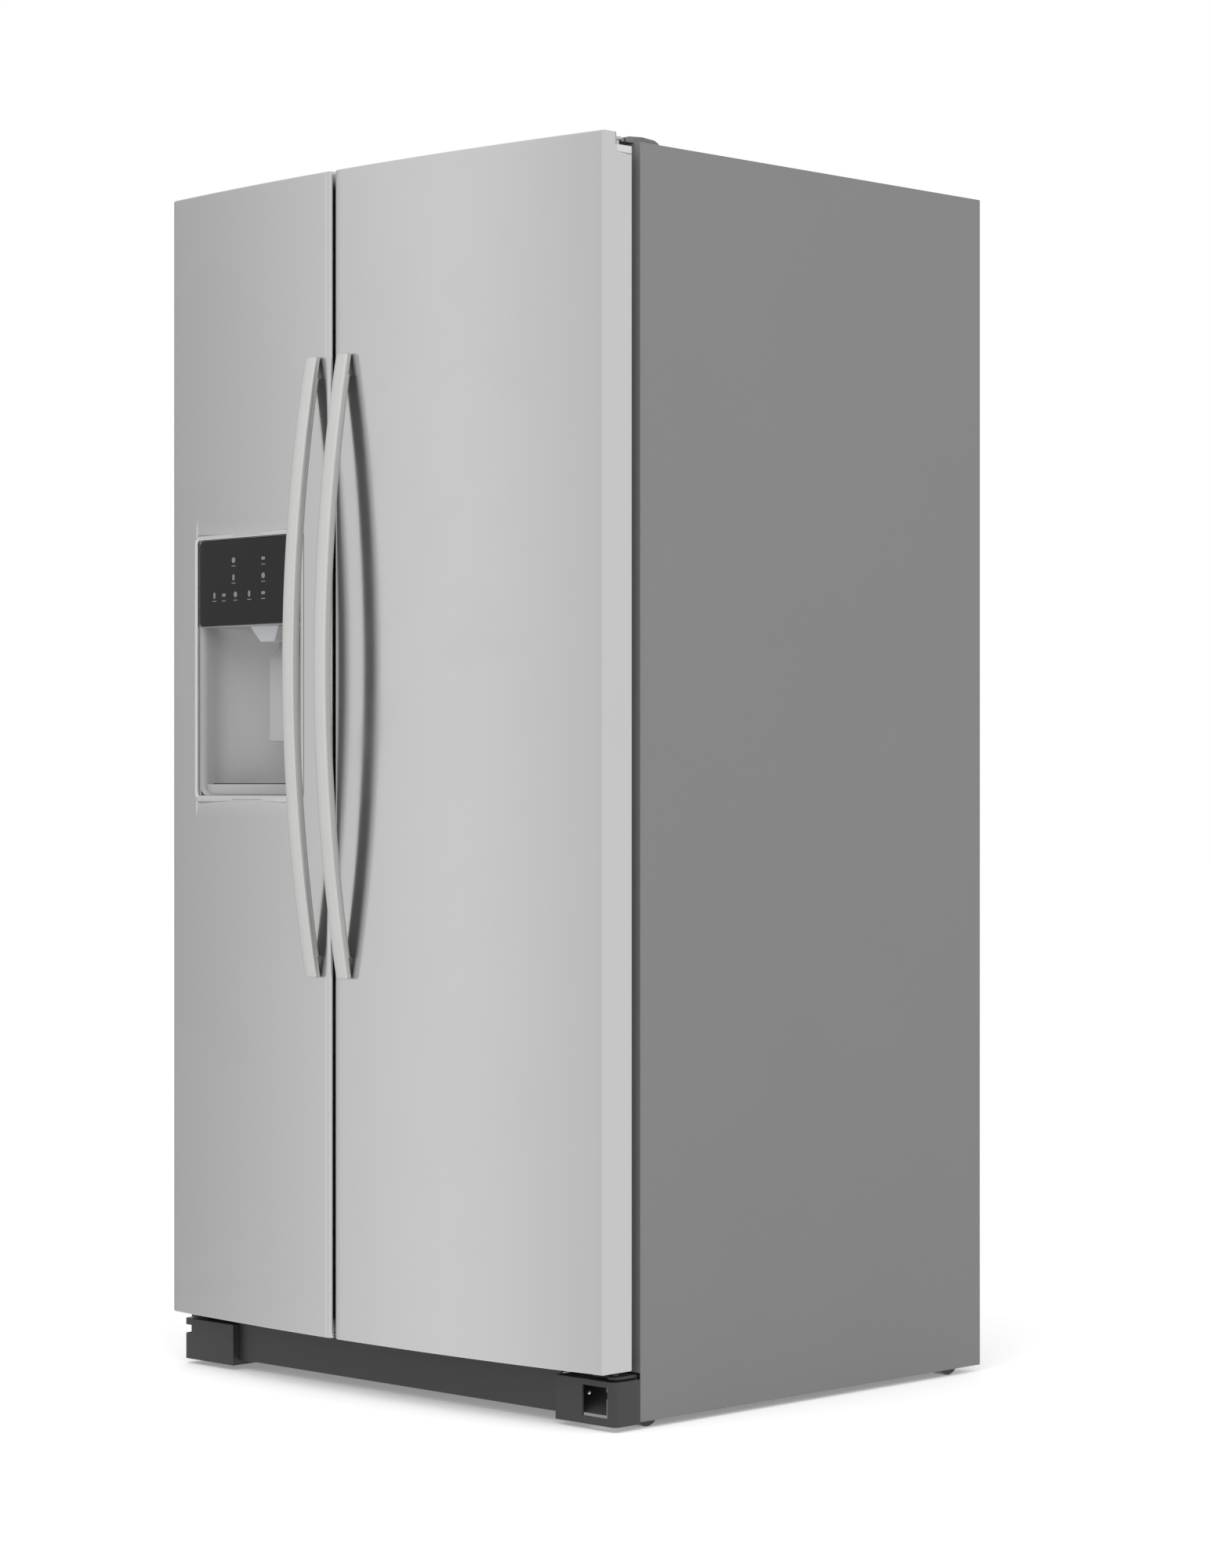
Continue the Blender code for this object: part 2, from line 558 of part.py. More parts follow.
def niche_plan(grow, mouth):
    """Plan of the dispenser's recess: straight sides, then half an ellipse to the back."""
    half, shoulder, back = 0.1205 - grow, -0.335, NICHE_BACK - grow
    turns = [radians(15 * step) for step in range(13)]
    curve = [(DISPENSER_X - half * cos(a), shoulder + (back - shoulder) * sin(a)) for a in turns]
    return [(DISPENSER_X - half, mouth)] + curve + [(DISPENSER_X + half, mouth)]


def dispenser(pivots, grey, trim, black, clear_grey):
    """The recess, its frame, the control panel, the ice chute, the paddle and the drip tray."""
    left, right = DISPENSER_X - OPENING_HALF, DISPENSER_X + OPENING_HALF
    low, high = OPENING_BOTTOM, OPENING_TOP
    frame = solid("dispenser_frame",
                  band(left - 0.010, right + 0.010, low - 0.007, high + 0.006, -0.0018, -GAP), trim, *pivots)
    join(frame, "neck", band(left - 0.0042, right + 0.0042, low - 0.0027, high + 0.0027, -0.0010, 0.006))
    cut(frame, "window", blocks(((left, -0.5, low), (right, 0, high))))

    left, right, low, high = left + GAP, right - GAP, low + GAP, high - GAP
    body = front_line(left, right, 0.003, 6) + [(right, HOUSING_BACK), (left, HOUSING_BACK)]
    housing = solid("dispenser_housing", prism(body, low, high), grey, *pivots)
    cut(housing, "niche", prism(niche_plan(0, -0.5), low + 0.003, PANEL_BOTTOM - GAP))
    pocket = front_line(left + 0.002, right - 0.002, 0.030, 6)
    cut(housing, "panel_pocket", prism([(left + 0.002, -0.5)] + pocket + [(right - 0.002, -0.5)],
                                       PANEL_BOTTOM - 0.002, high - 0.002))
    solid("dispenser_panel", band(left + 0.0023, right - 0.0023, PANEL_BOTTOM, high - 0.0023, 0.0005,
                                  0.0295), black, *pivots)

    chute_front, chute_back = -0.342, -0.302
    top, bottom = PANEL_BOTTOM - 2 * GAP, 1.084
    chute = bmesh.new()
    rings = []
    for half, front, back, height in ((0.016, -0.336, -0.306, bottom), (0.032, chute_front, chute_back, top)):
        corners = ((-half, front), (half, front), (half, back), (-half, back))
        rings.append([chute.verts.new((DISPENSER_X + x, y, height)) for x, y in corners])
    chute.faces.new(rings[0])
    chute.faces.new(rings[1])
    for a, b in ((0, 1), (1, 2), (2, 3), (3, 0)):
        chute.faces.new((rings[0][a], rings[0][b], rings[1][b], rings[1][a]))
    spout = solid("ice_chute", chute, clear_grey, *pivots)
    cut(spout, "throat", blocks(((DISPENSER_X - 0.012, -0.331, 1.07), (DISPENSER_X + 0.012, -0.311, 1.12))))

    hinge_y, hinge_z = -0.2985, 1.098
    axis = (DISPENSER_X, hinge_y, hinge_z)
    plan = [(hinge_y - 0.0015, hinge_z + 0.004), (hinge_y - 0.0015, 1.078), (-0.3180, 1.060),
            (-0.3180, 0.937),
            (-0.3150, 0.937), (-0.3150, 1.0585), (hinge_y + 0.0015, 1.0765),
            (hinge_y + 0.0015, hinge_z + 0.004)]
    solid("dispenser_paddle", prism(plan, DISPENSER_X - 0.016, DISPENSER_X + 0.016, "x"), clear_grey, axis,
          pivots[1])

    floor = low + 0.003 + GAP
    tray = solid("drip_tray", prism(niche_plan(0.001, -0.352), floor, floor + 0.015), grey, *pivots)
    bars = [((DISPENSER_X - 0.0975 + 0.015 * step, -0.344, floor + 0.004),
             (DISPENSER_X - 0.0875 + 0.015 * step, -0.300, 1.0))
            for step in range(13)]
    cut(tray, "slots", blocks(*bars))


def freezer_door(steel, grey, rubber, plastic, clear, foam_white, metal, trim, black):
    """Every piece that hangs on the freezer door's hinge."""
    hinge = (-HINGE_X, HINGE_Y, 0)
    pivots = (hinge, pivot("freezer_door_pivot", hinge))
    opening = (DISPENSER_X - OPENING_HALF - 0.0045, DISPENSER_X + OPENING_HALF + 0.0045)
    edge = (OPENING_BOTTOM - 0.003, OPENING_TOP + 0.003)
    skin = door_skin("freezer_door_skin", FREEZER_DOOR, steel, pivots)
    cut(skin, "dispenser", blocks(((opening[0], -0.5, edge[0]), (opening[1], -0.32, edge[1]))))
    foam_hole = ((opening[0] - GAP, opening[1] + GAP), (edge[0] - GAP, edge[1] + GAP))
    door_foam("freezer_door_foam", FREEZER_DOOR, foam_white, pivots, foam_hole)
    levels = ((0.180, 0.310), (0.420, 0.540), (0.660, 0.780), (1.300, 1.410), (1.500, 1.610))
    dyke = (-0.394, -0.108)
    door_liner("freezer_door_liner", FREEZER_DOOR, dyke, plastic, pivots, bulge=True)
    door_bins("freezer_door_bins", dyke, levels, plastic, pivots)
    door_gasket("freezer_door_gasket", FREEZER_DOOR, rubber, pivots)
    door_caps("freezer_door_cap", FREEZER_DOOR, grey, pivots)
    handle("freezer_door_handle", SPLIT_X - HANDLE_OFFSET, metal, pivots)
    dispenser(pivots, grey, trim, black, clear)


def fridge_door(steel, grey, rubber, plastic, clear, foam_white, metal):
    """Every piece that hangs on the fridge door's hinge."""
    hinge = (HINGE_X, HINGE_Y, 0)
    pivots = (hinge, pivot("fridge_door_pivot", hinge))
    door_skin("fridge_door_skin", FRIDGE_DOOR, steel, pivots)
    door_foam("fridge_door_foam", FRIDGE_DOOR, foam_white, pivots)
    levels = ((0.180, 0.330), (0.450, 0.580), (0.700, 0.830), (0.950, 1.080), (1.180, 1.300), (1.420, 1.540))
    dyke = (-0.022, 0.394)
    door_liner("fridge_door_liner", FRIDGE_DOOR, dyke, plastic, pivots)
    door_bins("fridge_door_bins", dyke, levels, plastic, pivots)
    door_gasket("fridge_door_gasket", FRIDGE_DOOR, rubber, pivots)
    door_caps("fridge_door_cap", FRIDGE_DOOR, grey, pivots)
    handle("fridge_door_handle", SPLIT_X + HANDLE_OFFSET, metal, pivots)
    axis = (0.186, DYKE_BACK + 0.0015, 1.5600)
    rear, front = axis[1], BIN_FRONT + 0.0040
    lid = [(rear - 0.0015, 1.5585), (front - 0.002, 1.5585), (front - 0.002, 1.478), (front, 1.478),
           (front, 1.5615),
           (rear - 0.0015, 1.5615)]
    solid("dairy_lid", prism(lid, -0.0005, 0.3725, "x"), clear, axis, pivots[1])


# ---------------------------------------------------------------- inside the compartments

def shelves(glass):
    """Glass shelves with a moulded lip along the front."""
    fridge = (FRIDGE_LEFT + 0.0024, FRIDGE_RIGHT - 0.0024, CAVITY_BACK - 0.001)
    freezer = (FREEZER_LEFT + 0.0024, FREEZER_RIGHT - 0.0024, 0.298)
    for (left, right, back), group in ((fridge, FRIDGE_SHELVES), (freezer, FREEZER_SHELVES)):
        for name, top in group.items():
            outline = [(SHELF_FRONT, top - 0.018), (SHELF_FRONT, top), (back, top), (back, top - 0.006),
                       (SHELF_FRONT + 0.012, top - 0.006), (SHELF_FRONT + 0.012, top - 0.018)]
            solid(name, prism(outline, left, right, "x"), glass)


def drawers(clear, plastic):
    """Crispers, freezer baskets and the ice bin: open tubs, each of which slides forward."""
    step = STEP_BACK - 0.010
    spans = {"crisper_upper": ((-0.0300, DRAWER_FRONT, 0.395), (0.4006, 0.360, 0.575)),
             "crisper_lower": ((-0.0300, DRAWER_FRONT, 0.150), (0.4006, step, 0.365)),
             "freezer_basket_upper": ((-0.3980, DRAWER_FRONT, 0.430), (-0.1034, 0.285, 0.640)),
             "freezer_basket_lower": ((-0.3980, DRAWER_FRONT, 0.150), (-0.1034, step, 0.355)),
             "ice_bin": ((-0.3950, DRAWER_FRONT, 1.310), (-0.1064, 0.285, 1.535))}
    for name, (low, high) in spans.items():
        material = plastic if name.startswith("freezer") else clear
        origin = ((low[0] + high[0]) / 2, low[1], low[2])
        cut(solid(name, blocks((low, high)), material, origin), "hollow", blocks(tub(low, high, DRAWER_WALL)))


def ice_maker(plastic):
    """The ice maker under the freezer's ceiling, over the ice bin."""
    low, high = (-0.380, -0.020, 1.600), (-0.130, 0.200, 1.6895)
    piece = solid("ice_maker", blocks((low, high)), plastic)
    cut(piece, "mould", blocks(((low[0] + 0.03, low[1] + 0.01, 1.635),
                                (high[0] - 0.006, high[1] - 0.03, 1.70))))


def fan(name, centre, axis, hub, reach, blades, material):
    """A hub with flat blades set at an angle, turning about X or Y."""
    along = Vector((1, 0, 0)) if axis == "x" else Vector((0, 1, 0))
    centre = Vector(centre)
    piece = solid(name, rods((centre - along * 0.008, centre + along * 0.008), radius=hub, sides=16),
                  material, origin=centre, smooth=True)
    vanes = bmesh.new()
    for blade in range(blades):
        turn = Matrix.Rotation(2 * pi * blade / blades, 4, along)
        lean = Matrix.Rotation(radians(28), 4, "Z")
        length = reach - hub + 0.004
        sizes = (0.0016, 0.034, length) if axis == "x" else (0.034, 0.0016, length)
        stand = Matrix.Translation((0, 0, hub - 0.004 + length / 2))
        bmesh.ops.create_cube(vanes, size=1.0, matrix=Matrix.Translation(centre) @ turn @ stand @ lean
                              @ Matrix.Diagonal((*sizes, 1.0)))
    join(piece, "blades", vanes)


def cold_side(plastic, black):
    """The evaporator cover at the back of the freezer, and the fan in its upper part."""
    x, z, hole = -0.2507, 1.430, 0.062
    cover = solid("evaporator_cover", blocks(((FREEZER_LEFT + 0.001, 0.300, STEP_TOP + 0.005),
                                              (FREEZER_RIGHT - 0.001, 0.303, CAVITY_TOP - 0.005))), plastic)
    cut(cover, "fan_hole", rods(((x, 0.29, z), (x, 0.31, z)), radius=hole, sides=24))
    slots = [((-0.36, 0.29, low), (-0.14, 0.31, low + 0.010)) for low in (0.400, 0.425)]
    cut(cover, "slots", blocks(*slots))
    fan("evaporator_fan", (x, 0.3175, z), "y", 0.018, 0.056, 4, black)


def machine_room(black):
    """The compressor on its feet and the condenser's fan."""
    floor = PAN_BOTTOM + BASE_STEEL + GAP
    x, y = 0.190, 0.315
    dome = [(0, floor + 0.010), (0.070, floor + 0.010), (0.085, floor + 0.028), (0.085, floor + 0.120),
            (0.078, floor + 0.155),
            (0.050, floor + 0.182), (0, floor + 0.190)]
    shell = solid("compressor", turned(dome, (x, y)), black, smooth=True)
    join(shell, "feet", blocks(((x - 0.095, y - 0.062, floor + 0.0045),
                                (x + 0.095, y + 0.062, floor + 0.0115))))
    pads = [((x + a, y + b, floor), (x + a, y + b, floor + 0.006)) for a in (-0.082, 0.082)
            for b in (-0.048, 0.048)]
    join(shell, "pads", rods(*pads, radius=0.009, sides=12))

    x, z = -0.020, 0.160
    fan("condenser_fan", (x - 0.031, y, z), "x", 0.020, 0.075, 5, black)


def main():
    clear_scene()
    paint = finish("cabinet_paint", (0.22, 0.22, 0.23), 0.55)
    steel = finish("door_steel", (0.62, 0.62, 0.61), 0.28, 1.0)
    metal = finish("handle_metal", (0.70, 0.69, 0.67), 0.25, 1.0)
    plate = finish("zinc_plate", (0.60, 0.60, 0.60), 0.40, 1.0)
    trim = finish("dispenser_trim", (0.75, 0.75, 0.75), 0.25, 1.0)
    grey = finish("grey_plastic", (0.36, 0.36, 0.37), 0.45)
    black = finish("black_plastic", (0.03, 0.03, 0.03), 0.50)
    gloss = finish("gloss_black", (0.012, 0.012, 0.013), 0.10)
    rubber = finish("gasket_rubber", (0.10, 0.10, 0.10), 0.65)
    white = finish("liner_white", (0.86, 0.87, 0.87), 0.35)
    foam_white = finish("foam", (0.82, 0.78, 0.60), 0.90)
    clear = finish("clear_plastic", (0.85, 0.90, 0.92), 0.12, 0.0, 0.45)
    glass = finish("shelf_glass", (0.80, 0.90, 0.88), 0.05, 0.0, 0.35)

    cabinet(paint, foam_white, white, plate)
    base_frame(plate)
    rollers_and_screws(black, plate)
    base_covers(black)
    hinges(plate, grey)
    fridge_door(steel, grey, rubber, white, clear, foam_white, metal)
    freezer_door(steel, grey, rubber, white, clear, foam_white, metal, trim, gloss)
    shelves(glass)
    drawers(clear, white)
    ice_maker(white)
    cold_side(white, black)
    machine_room(black)


main()
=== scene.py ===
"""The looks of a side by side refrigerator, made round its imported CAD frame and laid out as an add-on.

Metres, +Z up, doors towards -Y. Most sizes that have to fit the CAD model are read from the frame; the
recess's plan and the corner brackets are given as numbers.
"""

import math

import bmesh
import bpy
import numpy as np
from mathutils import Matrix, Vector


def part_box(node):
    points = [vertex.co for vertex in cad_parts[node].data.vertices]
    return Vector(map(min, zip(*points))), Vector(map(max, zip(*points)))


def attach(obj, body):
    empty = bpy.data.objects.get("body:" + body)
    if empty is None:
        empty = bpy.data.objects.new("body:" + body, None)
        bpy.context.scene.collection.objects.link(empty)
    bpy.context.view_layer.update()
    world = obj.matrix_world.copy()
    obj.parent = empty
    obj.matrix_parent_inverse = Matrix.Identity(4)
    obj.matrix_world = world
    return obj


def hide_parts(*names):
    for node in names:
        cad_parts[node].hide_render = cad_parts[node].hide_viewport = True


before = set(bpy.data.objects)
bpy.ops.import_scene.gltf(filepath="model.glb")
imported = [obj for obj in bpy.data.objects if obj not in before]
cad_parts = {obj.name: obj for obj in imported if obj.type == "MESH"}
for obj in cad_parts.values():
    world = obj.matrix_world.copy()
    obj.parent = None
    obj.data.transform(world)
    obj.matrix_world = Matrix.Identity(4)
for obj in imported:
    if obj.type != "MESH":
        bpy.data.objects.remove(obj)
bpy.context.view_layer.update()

bl_info = {
    "name": "Side by Side Refrigerator",
    "version": (1, 0, 0),
    "blender": (4, 5, 0),
    "location": "3D View > Sidebar > Refrigerator",
    "description": "Builds the finished surfaces of a side by side refrigerator round its CAD frame",
    "category": "Object",
}

CABINET, FREEZER, FRIDGE = "cabinet", "freezer_door", "fridge_door"
SIDES = ("left", "right")
LOW, HIGH = 0, 1
X, Y, Z = 0, 1, 2


def box(node):
    """Lowest and highest corner of a CAD node, as numpy arrays."""
    low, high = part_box(node)
    return np.array(low), np.array(high)


# Sizes that the frame gives
SHELL = box("cabinet_wrapper")
SKINS = {FREEZER: box("freezer_door_skin"), FRIDGE: box("fridge_door_skin")}
HALF_WIDTH = SHELL[HIGH][X]
DOOR_BACK = SKINS[FRIDGE][HIGH][Y]
FRAME_BOX = box("dispenser_frame")
HOUSING = box("dispenser_housing")
PANEL = box("dispenser_panel")


# ---------------------------------------------------------------- settings

class RefrigeratorSizes(bpy.types.PropertyGroup):
    """Sizes of the finished surfaces that the frame leaves free."""

    door_bow: bpy.props.FloatProperty(
        name="Door bow", description="How far the doors' common front stands out in the middle",
        default=0.026, unit="LENGTH")
    door_corner: bpy.props.FloatProperty(
        name="Door corner", description="Radius of the upright corners of the door steel",
        default=0.007, unit="LENGTH")
    door_steel: bpy.props.FloatProperty(
        name="Door steel", description="Thickness of the door sheet", default=0.001, unit="LENGTH")
    lip_rise: bpy.props.FloatProperty(
        name="Lip rise", description="How far the lip stands above the sheet behind it", default=0.027,
        min=0.001, max=0.1, unit="LENGTH")
    lip_depth: bpy.props.FloatProperty(
        name="Lip depth", description="How far back the raised lip on the doors' tops reaches",
        default=0.0234, unit="LENGTH")
    handle_edge: bpy.props.FloatProperty(
        name="Handle edge", description="Radius of the handles' long edges", default=0.0045, unit="LENGTH")
    handle_end: bpy.props.FloatProperty(
        name="Handle end", description="Thickness of a handle where it meets its door",
        default=0.0125, unit="LENGTH")
    handle_middle: bpy.props.FloatProperty(
        name="Handle middle", description="Thickness of a handle halfway up", default=0.014, unit="LENGTH")
    tub_corner: bpy.props.FloatProperty(
        name="Tub corner", description="Radius of the corners of drawers and bins", default=0.016,
        unit="LENGTH")
    lens: bpy.props.FloatProperty(
        name="Lens", description="Focal length of the camera, in millimetres", default=88.3)


class RefrigeratorColours(bpy.types.PropertyGroup):
    """Main colours of the finishes."""

    door_steel: bpy.props.FloatVectorProperty(
        name="Door steel", description="Colour of the door sheet", subtype="COLOR", size=3,
        default=(0.60, 0.60, 0.60), min=0, max=1)
    handle_steel: bpy.props.FloatVectorProperty(
        name="Handle steel", description="Colour of the handles", subtype="COLOR", size=3,
        default=(0.60, 0.60, 0.587), min=0, max=1)
    cabinet_paint: bpy.props.FloatVectorProperty(
        name="Cabinet paint", description="Colour of the painted cabinet", subtype="COLOR", size=3,
        default=(0.188, 0.188, 0.189), min=0, max=1)
    recess: bpy.props.FloatVectorProperty(
        name="Recess", description="Colour of the dispenser's recess", subtype="COLOR", size=3,
        default=(0.41, 0.412, 0.415), min=0, max=1)
    base: bpy.props.FloatVectorProperty(
        name="Base", description="Colour of the base covers and the grille", subtype="COLOR", size=3,
        default=(0.036, 0.036, 0.037), min=0, max=1)


def sizes():
    return bpy.context.scene.refrigerator_sizes


def colours():
    return bpy.context.scene.refrigerator_colours


# ---------------------------------------------------------------- surface tools

def surface(name, grid, round_u=False, round_v=False, keep=None, smooth=35):
    """A mesh on a grid of points: grid[v, u] is the point at the two parameters u and v.

    round_u and round_v join the last column or row to the first. keep is a mask of the cells that
    have a face. Rows that shrink to one point become poles, because their doubles are merged.
    """
    rows, columns = grid.shape[:2]
    index = np.arange(rows * columns).reshape(rows, columns)
    if round_u:
        index = np.concatenate([index, index[:, :1]], axis=1)
    if round_v:
        index = np.concatenate([index, index[:1]], axis=0)
    quads = np.stack([index[:-1, :-1], index[:-1, 1:], index[1:, 1:], index[1:, :-1]], axis=-1)
    quads = quads[keep] if keep is not None else quads.reshape(-1, 4)
    return mesh_piece(name, grid.reshape(-1, 3), quads, smooth)


def mesh_piece(name, points, quads, smooth=35):
    """An object from points and faces, with doubles merged and loose points removed."""
    mesh = bpy.data.meshes.new(name)
    mesh.from_pydata(points.tolist(), [], quads.tolist())
    shape = bmesh.new()
    shape.from_mesh(mesh)
    bmesh.ops.remove_doubles(shape, verts=shape.verts, dist=1e-6)
    bmesh.ops.dissolve_degenerate(shape, edges=shape.edges, dist=1e-7)
    loose = [vert for vert in shape.verts if not vert.link_faces]
    bmesh.ops.delete(shape, geom=loose, context="VERTS")
    shape.to_mesh(mesh)
    shape.free()
    mesh.shade_smooth()
    mesh.set_sharp_from_angle(angle=math.radians(smooth))
    piece = bpy.data.objects.new(name, mesh)
    bpy.context.collection.objects.link(piece)
    return piece


def merged(name, pieces):
    """One object from several, in order. The parts of one moulding stay one piece."""
    shape = bmesh.new()
    for piece in pieces:
        shape.from_mesh(piece.data)
    mesh = bpy.data.meshes.new(name)
    shape.to_mesh(mesh)
    shape.free()
    for piece in pieces:
        bpy.data.objects.remove(piece, do_unlink=True)
    result = bpy.data.objects.new(name, mesh)
    bpy.context.collection.objects.link(result)
    return result


def outwards(piece):
    """Turn all faces of a closed piece outwards."""
    shape = bmesh.new()
    shape.from_mesh(piece.data)
    bmesh.ops.recalc_face_normals(shape, faces=shape.faces)
    shape.to_mesh(piece.data)
    shape.free()
    return piece


def solidified(piece, thickness, offset=-1.0):
    """Give a sheet its thickness. Offset -1 grows it inwards from its outer face."""
    modifier = piece.modifiers.new("thickness", "SOLIDIFY")
    modifier.thickness = thickness
    modifier.offset = offset
    modifier.use_even_offset = True
    return piece


def bevelled(piece, width, segments=2, angle=40):
    """Round the edges that are sharper than an angle."""
    modifier = piece.modifiers.new("edges", "BEVEL")
    modifier.width = width
    modifier.segments = segments
    modifier.limit_method = "ANGLE"
    modifier.angle_limit = math.radians(angle)
    modifier.harden_normals = False
    return piece


def arc(start, end, steps):
    """Angles in radians from start to end degrees."""
    return np.radians(np.linspace(start, end, steps + 1))


def rounded_loop(low, high, radius, steps=5):
    """A closed rounded rectangle, anticlockwise: each corner's centre plus radius times (cos a, sin a)."""
    low, high = np.asarray(low, float), np.asarray(high, float)
    centres = ((high[0], high[1]), (low[0], high[1]), (low[0], low[1]), (high[0], low[1]))
    loops = []
    for corner, (cx, cy) in enumerate(centres):
        a = arc(90 * corner, 90 * corner + 90, steps)
        inward = np.array([-1 if cx == high[0] else 1, -1 if cy == high[1] else 1])
        centre = np.array([cx, cy]) + inward * radius
        loops.append(centre + radius * np.stack([np.cos(a), np.sin(a)], axis=1))
    return np.concatenate(loops)


def rounded_block(name, low, high, radius, steps=4):
    """A box with round edges: centre + s (h - r) + r n, where n runs over the sphere and s is its sign.

    u turns about Z through four quadrants, and v rises from pole to pole. At a quadrant's end the
    sign changes and n doesn't, which makes the flat faces.
    """
    low, high = np.asarray(low, float), np.asarray(high, float)
    centre, half = (low + high) / 2, (high - low) / 2
    turn = np.concatenate([arc(90 * q, 90 * q + 90, steps) for q in range(4)])
    quadrant = np.repeat(np.arange(4), steps + 1)
    sign_x = np.where((quadrant == 0) | (quadrant == 3), 1.0, -1.0)
    sign_y = np.where(quadrant < 2, 1.0, -1.0)
    rise = np.concatenate([arc(-90, 0, steps), arc(0, 90, steps)])
    sign_z = np.repeat([-1.0, 1.0], steps + 1)
    flat = half - radius
    grid = np.empty((len(rise), len(turn), 3))
    grid[..., X] = sign_x * flat[X] + radius * np.cos(rise)[:, None] * np.cos(turn)
    grid[..., Y] = sign_y * flat[Y] + radius * np.cos(rise)[:, None] * np.sin(turn)
    grid[..., Z] = (sign_z * flat[Z] + radius * np.sin(rise))[:, None]
    poles = np.zeros((1, len(turn), 3))
    grid = np.concatenate([poles + [0, 0, -half[Z]], grid, poles + [0, 0, half[Z]]]) + centre
    return surface(name, grid, round_u=True)


def tub(name, low, high, wall, radius):
    """An open tub: one rounded loop carried up the outside, over the rim and down the inside.

    Each row is the loop at one height, moved inwards by an inset. Bottom corners are quarter circles.
    """
    steps = 4
    corner = arc(0, 90, steps)
    inner = max(radius - wall, wall)
    rows = [(None, low[Z])]
    rows += [(radius * (1 - math.sin(a)), low[Z] + radius * (1 - math.cos(a))) for a in corner]
    rows += [(0.0, high[Z] - wall / 2), (wall * 0.15, high[Z] - wall * 0.15), (wall / 2, high[Z])]
    rows += [(wall * 0.85, high[Z] - wall * 0.15), (wall, high[Z] - wall / 2)]
    rows += [(wall + inner * (1 - math.cos(a)), low[Z] + wall + inner * (1 - math.sin(a))) for a in corner]
    rows += [(None, low[Z] + wall)]
    centre = (np.asarray(low) + np.asarray(high)) / 2
    grid = []
    for inset, height in rows:
        if inset is None:
            loop = np.zeros((4 * (steps + 1), 2)) + centre[:2]
        else:
            loop = rounded_loop(np.asarray(low)[:2] + inset, np.asarray(high)[:2] - inset,
                                max(radius - inset, 0.0008), steps)
        grid.append(np.column_stack([loop, np.full(len(loop), height)]))
    return surface(name, np.array(grid), round_u=True)


def capped(loops):
    """Level loops as a grid, with a row shrunk to its middle before the first and after the last."""
    ends = [loop.copy() for loop in (loops[0], loops[-1])]
    for cap in ends:
        cap[:, :2] = cap[:, :2].mean(axis=0)
    return np.array([ends[0], *loops, ends[1]])


def turned(name, profile, centre, axis, steps=48):
    """A profile of (radius, distance) points turned about X, Y or Z through a centre."""
    profile = np.asarray(profile, float)
    a = np.linspace(0, 2 * math.pi, steps, endpoint=False)
    grid = np.zeros((len(profile), steps, 3))
    first, second = [(Y, Z), (Z, X), (X, Y)][axis]
    grid[..., first] = profile[:, :1] * np.cos(a)
    grid[..., second] = profile[:, :1] * np.sin(a)
    grid[..., axis] = profile[:, 1:]
    return outwards(surface(name, grid + np.asarray(centre), round_u=True))


def copy_of(node, width=0.0006, segments=2):
    """A CAD node's shape with its flat faces joined and its edges slightly rounded."""
    shape = bmesh.new()
    shape.from_mesh(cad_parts[node].data)
    bmesh.ops.remove_doubles(shape, verts=shape.verts, dist=1e-5)
    flat = math.radians(1.0)
    bmesh.ops.dissolve_limit(shape, angle_limit=flat, verts=shape.verts, edges=shape.edges)
    mesh = bpy.data.meshes.new(f"{node}_finished")
    shape.to_mesh(mesh)
    shape.free()
    mesh.shade_smooth()
    mesh.set_sharp_from_angle(angle=math.radians(35))
    piece = bpy.data.objects.new(f"{node}_finished", mesh)
    bpy.context.collection.objects.link(piece)
    return bevelled(piece, width, segments, angle=50)


def dress(piece, body, material, nodes=()):
    """Give a piece its material, hang it on a body and let it stand for CAD nodes."""
    piece.data.materials.clear()
    piece.data.materials.append(material)
    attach(piece, body)
    if nodes:
        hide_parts(*([nodes] if isinstance(nodes, str) else nodes))
    return piece


def faced(piece):
    """Turn a sheet so that its faces look away from the middle of its box."""
    mesh = piece.data
    count = len(mesh.polygons)
    normals, middles, areas = np.empty(3 * count), np.empty(3 * count), np.empty(count)
    mesh.polygons.foreach_get("normal", normals)
    mesh.polygons.foreach_get("center", middles)
    mesh.polygons.foreach_get("area", areas)
    middles = middles.reshape(-1, 3)
    away = middles - (middles.min(axis=0) + middles.max(axis=0)) / 2
    if (np.sum(normals.reshape(-1, 3) * away, axis=1) * areas).sum() < 0:
        mesh.flip_normals()
    return piece


def door_front(x):
    """The doors' common front: its edge line less bow (1 - (x / half width) squared)."""
    bow = sizes().door_bow
    return SKINS[FRIDGE][LOW][Y] + bow * (np.asarray(x) / HALF_WIDTH) ** 2


def bowed_plate(name, low, high, radius, front, back, edge, rows=10):
    """A plate with rounded corners whose face follows the door's front.

    Each row is one rounded loop in x and z: first along the rim from the back, round the edge by
    edge (1 - cos a), then scaled down to the middle. y is the door's front plus the row's offset.
    """
    low, high = np.array(low, float), np.array(high, float)
    centre = (low + high) / 2
    loop = rounded_loop(low, high, radius, 6)
    a = arc(0, 90, 4)
    half = (high - low) / 2
    shrink = [np.ones(2)] + [1 - edge * (1 - np.cos(t)) / half for t in a]
    offset = [back] + [front + edge * (1 - math.sin(t)) for t in a]
    for s in np.linspace(1, 0, rows + 1)[1:]:
        shrink.append((1 - edge / half) * s)
        offset.append(front)
    shape = centre + (loop - centre) * np.array(shrink)[:, None, :]
    depth = door_front(shape[..., 0]) + np.array(offset)[:, None]
    return faced(surface(name, np.stack([shape[..., 0], depth, shape[..., 1]], axis=-1), round_u=True))


# ---------------------------------------------------------------- node groups

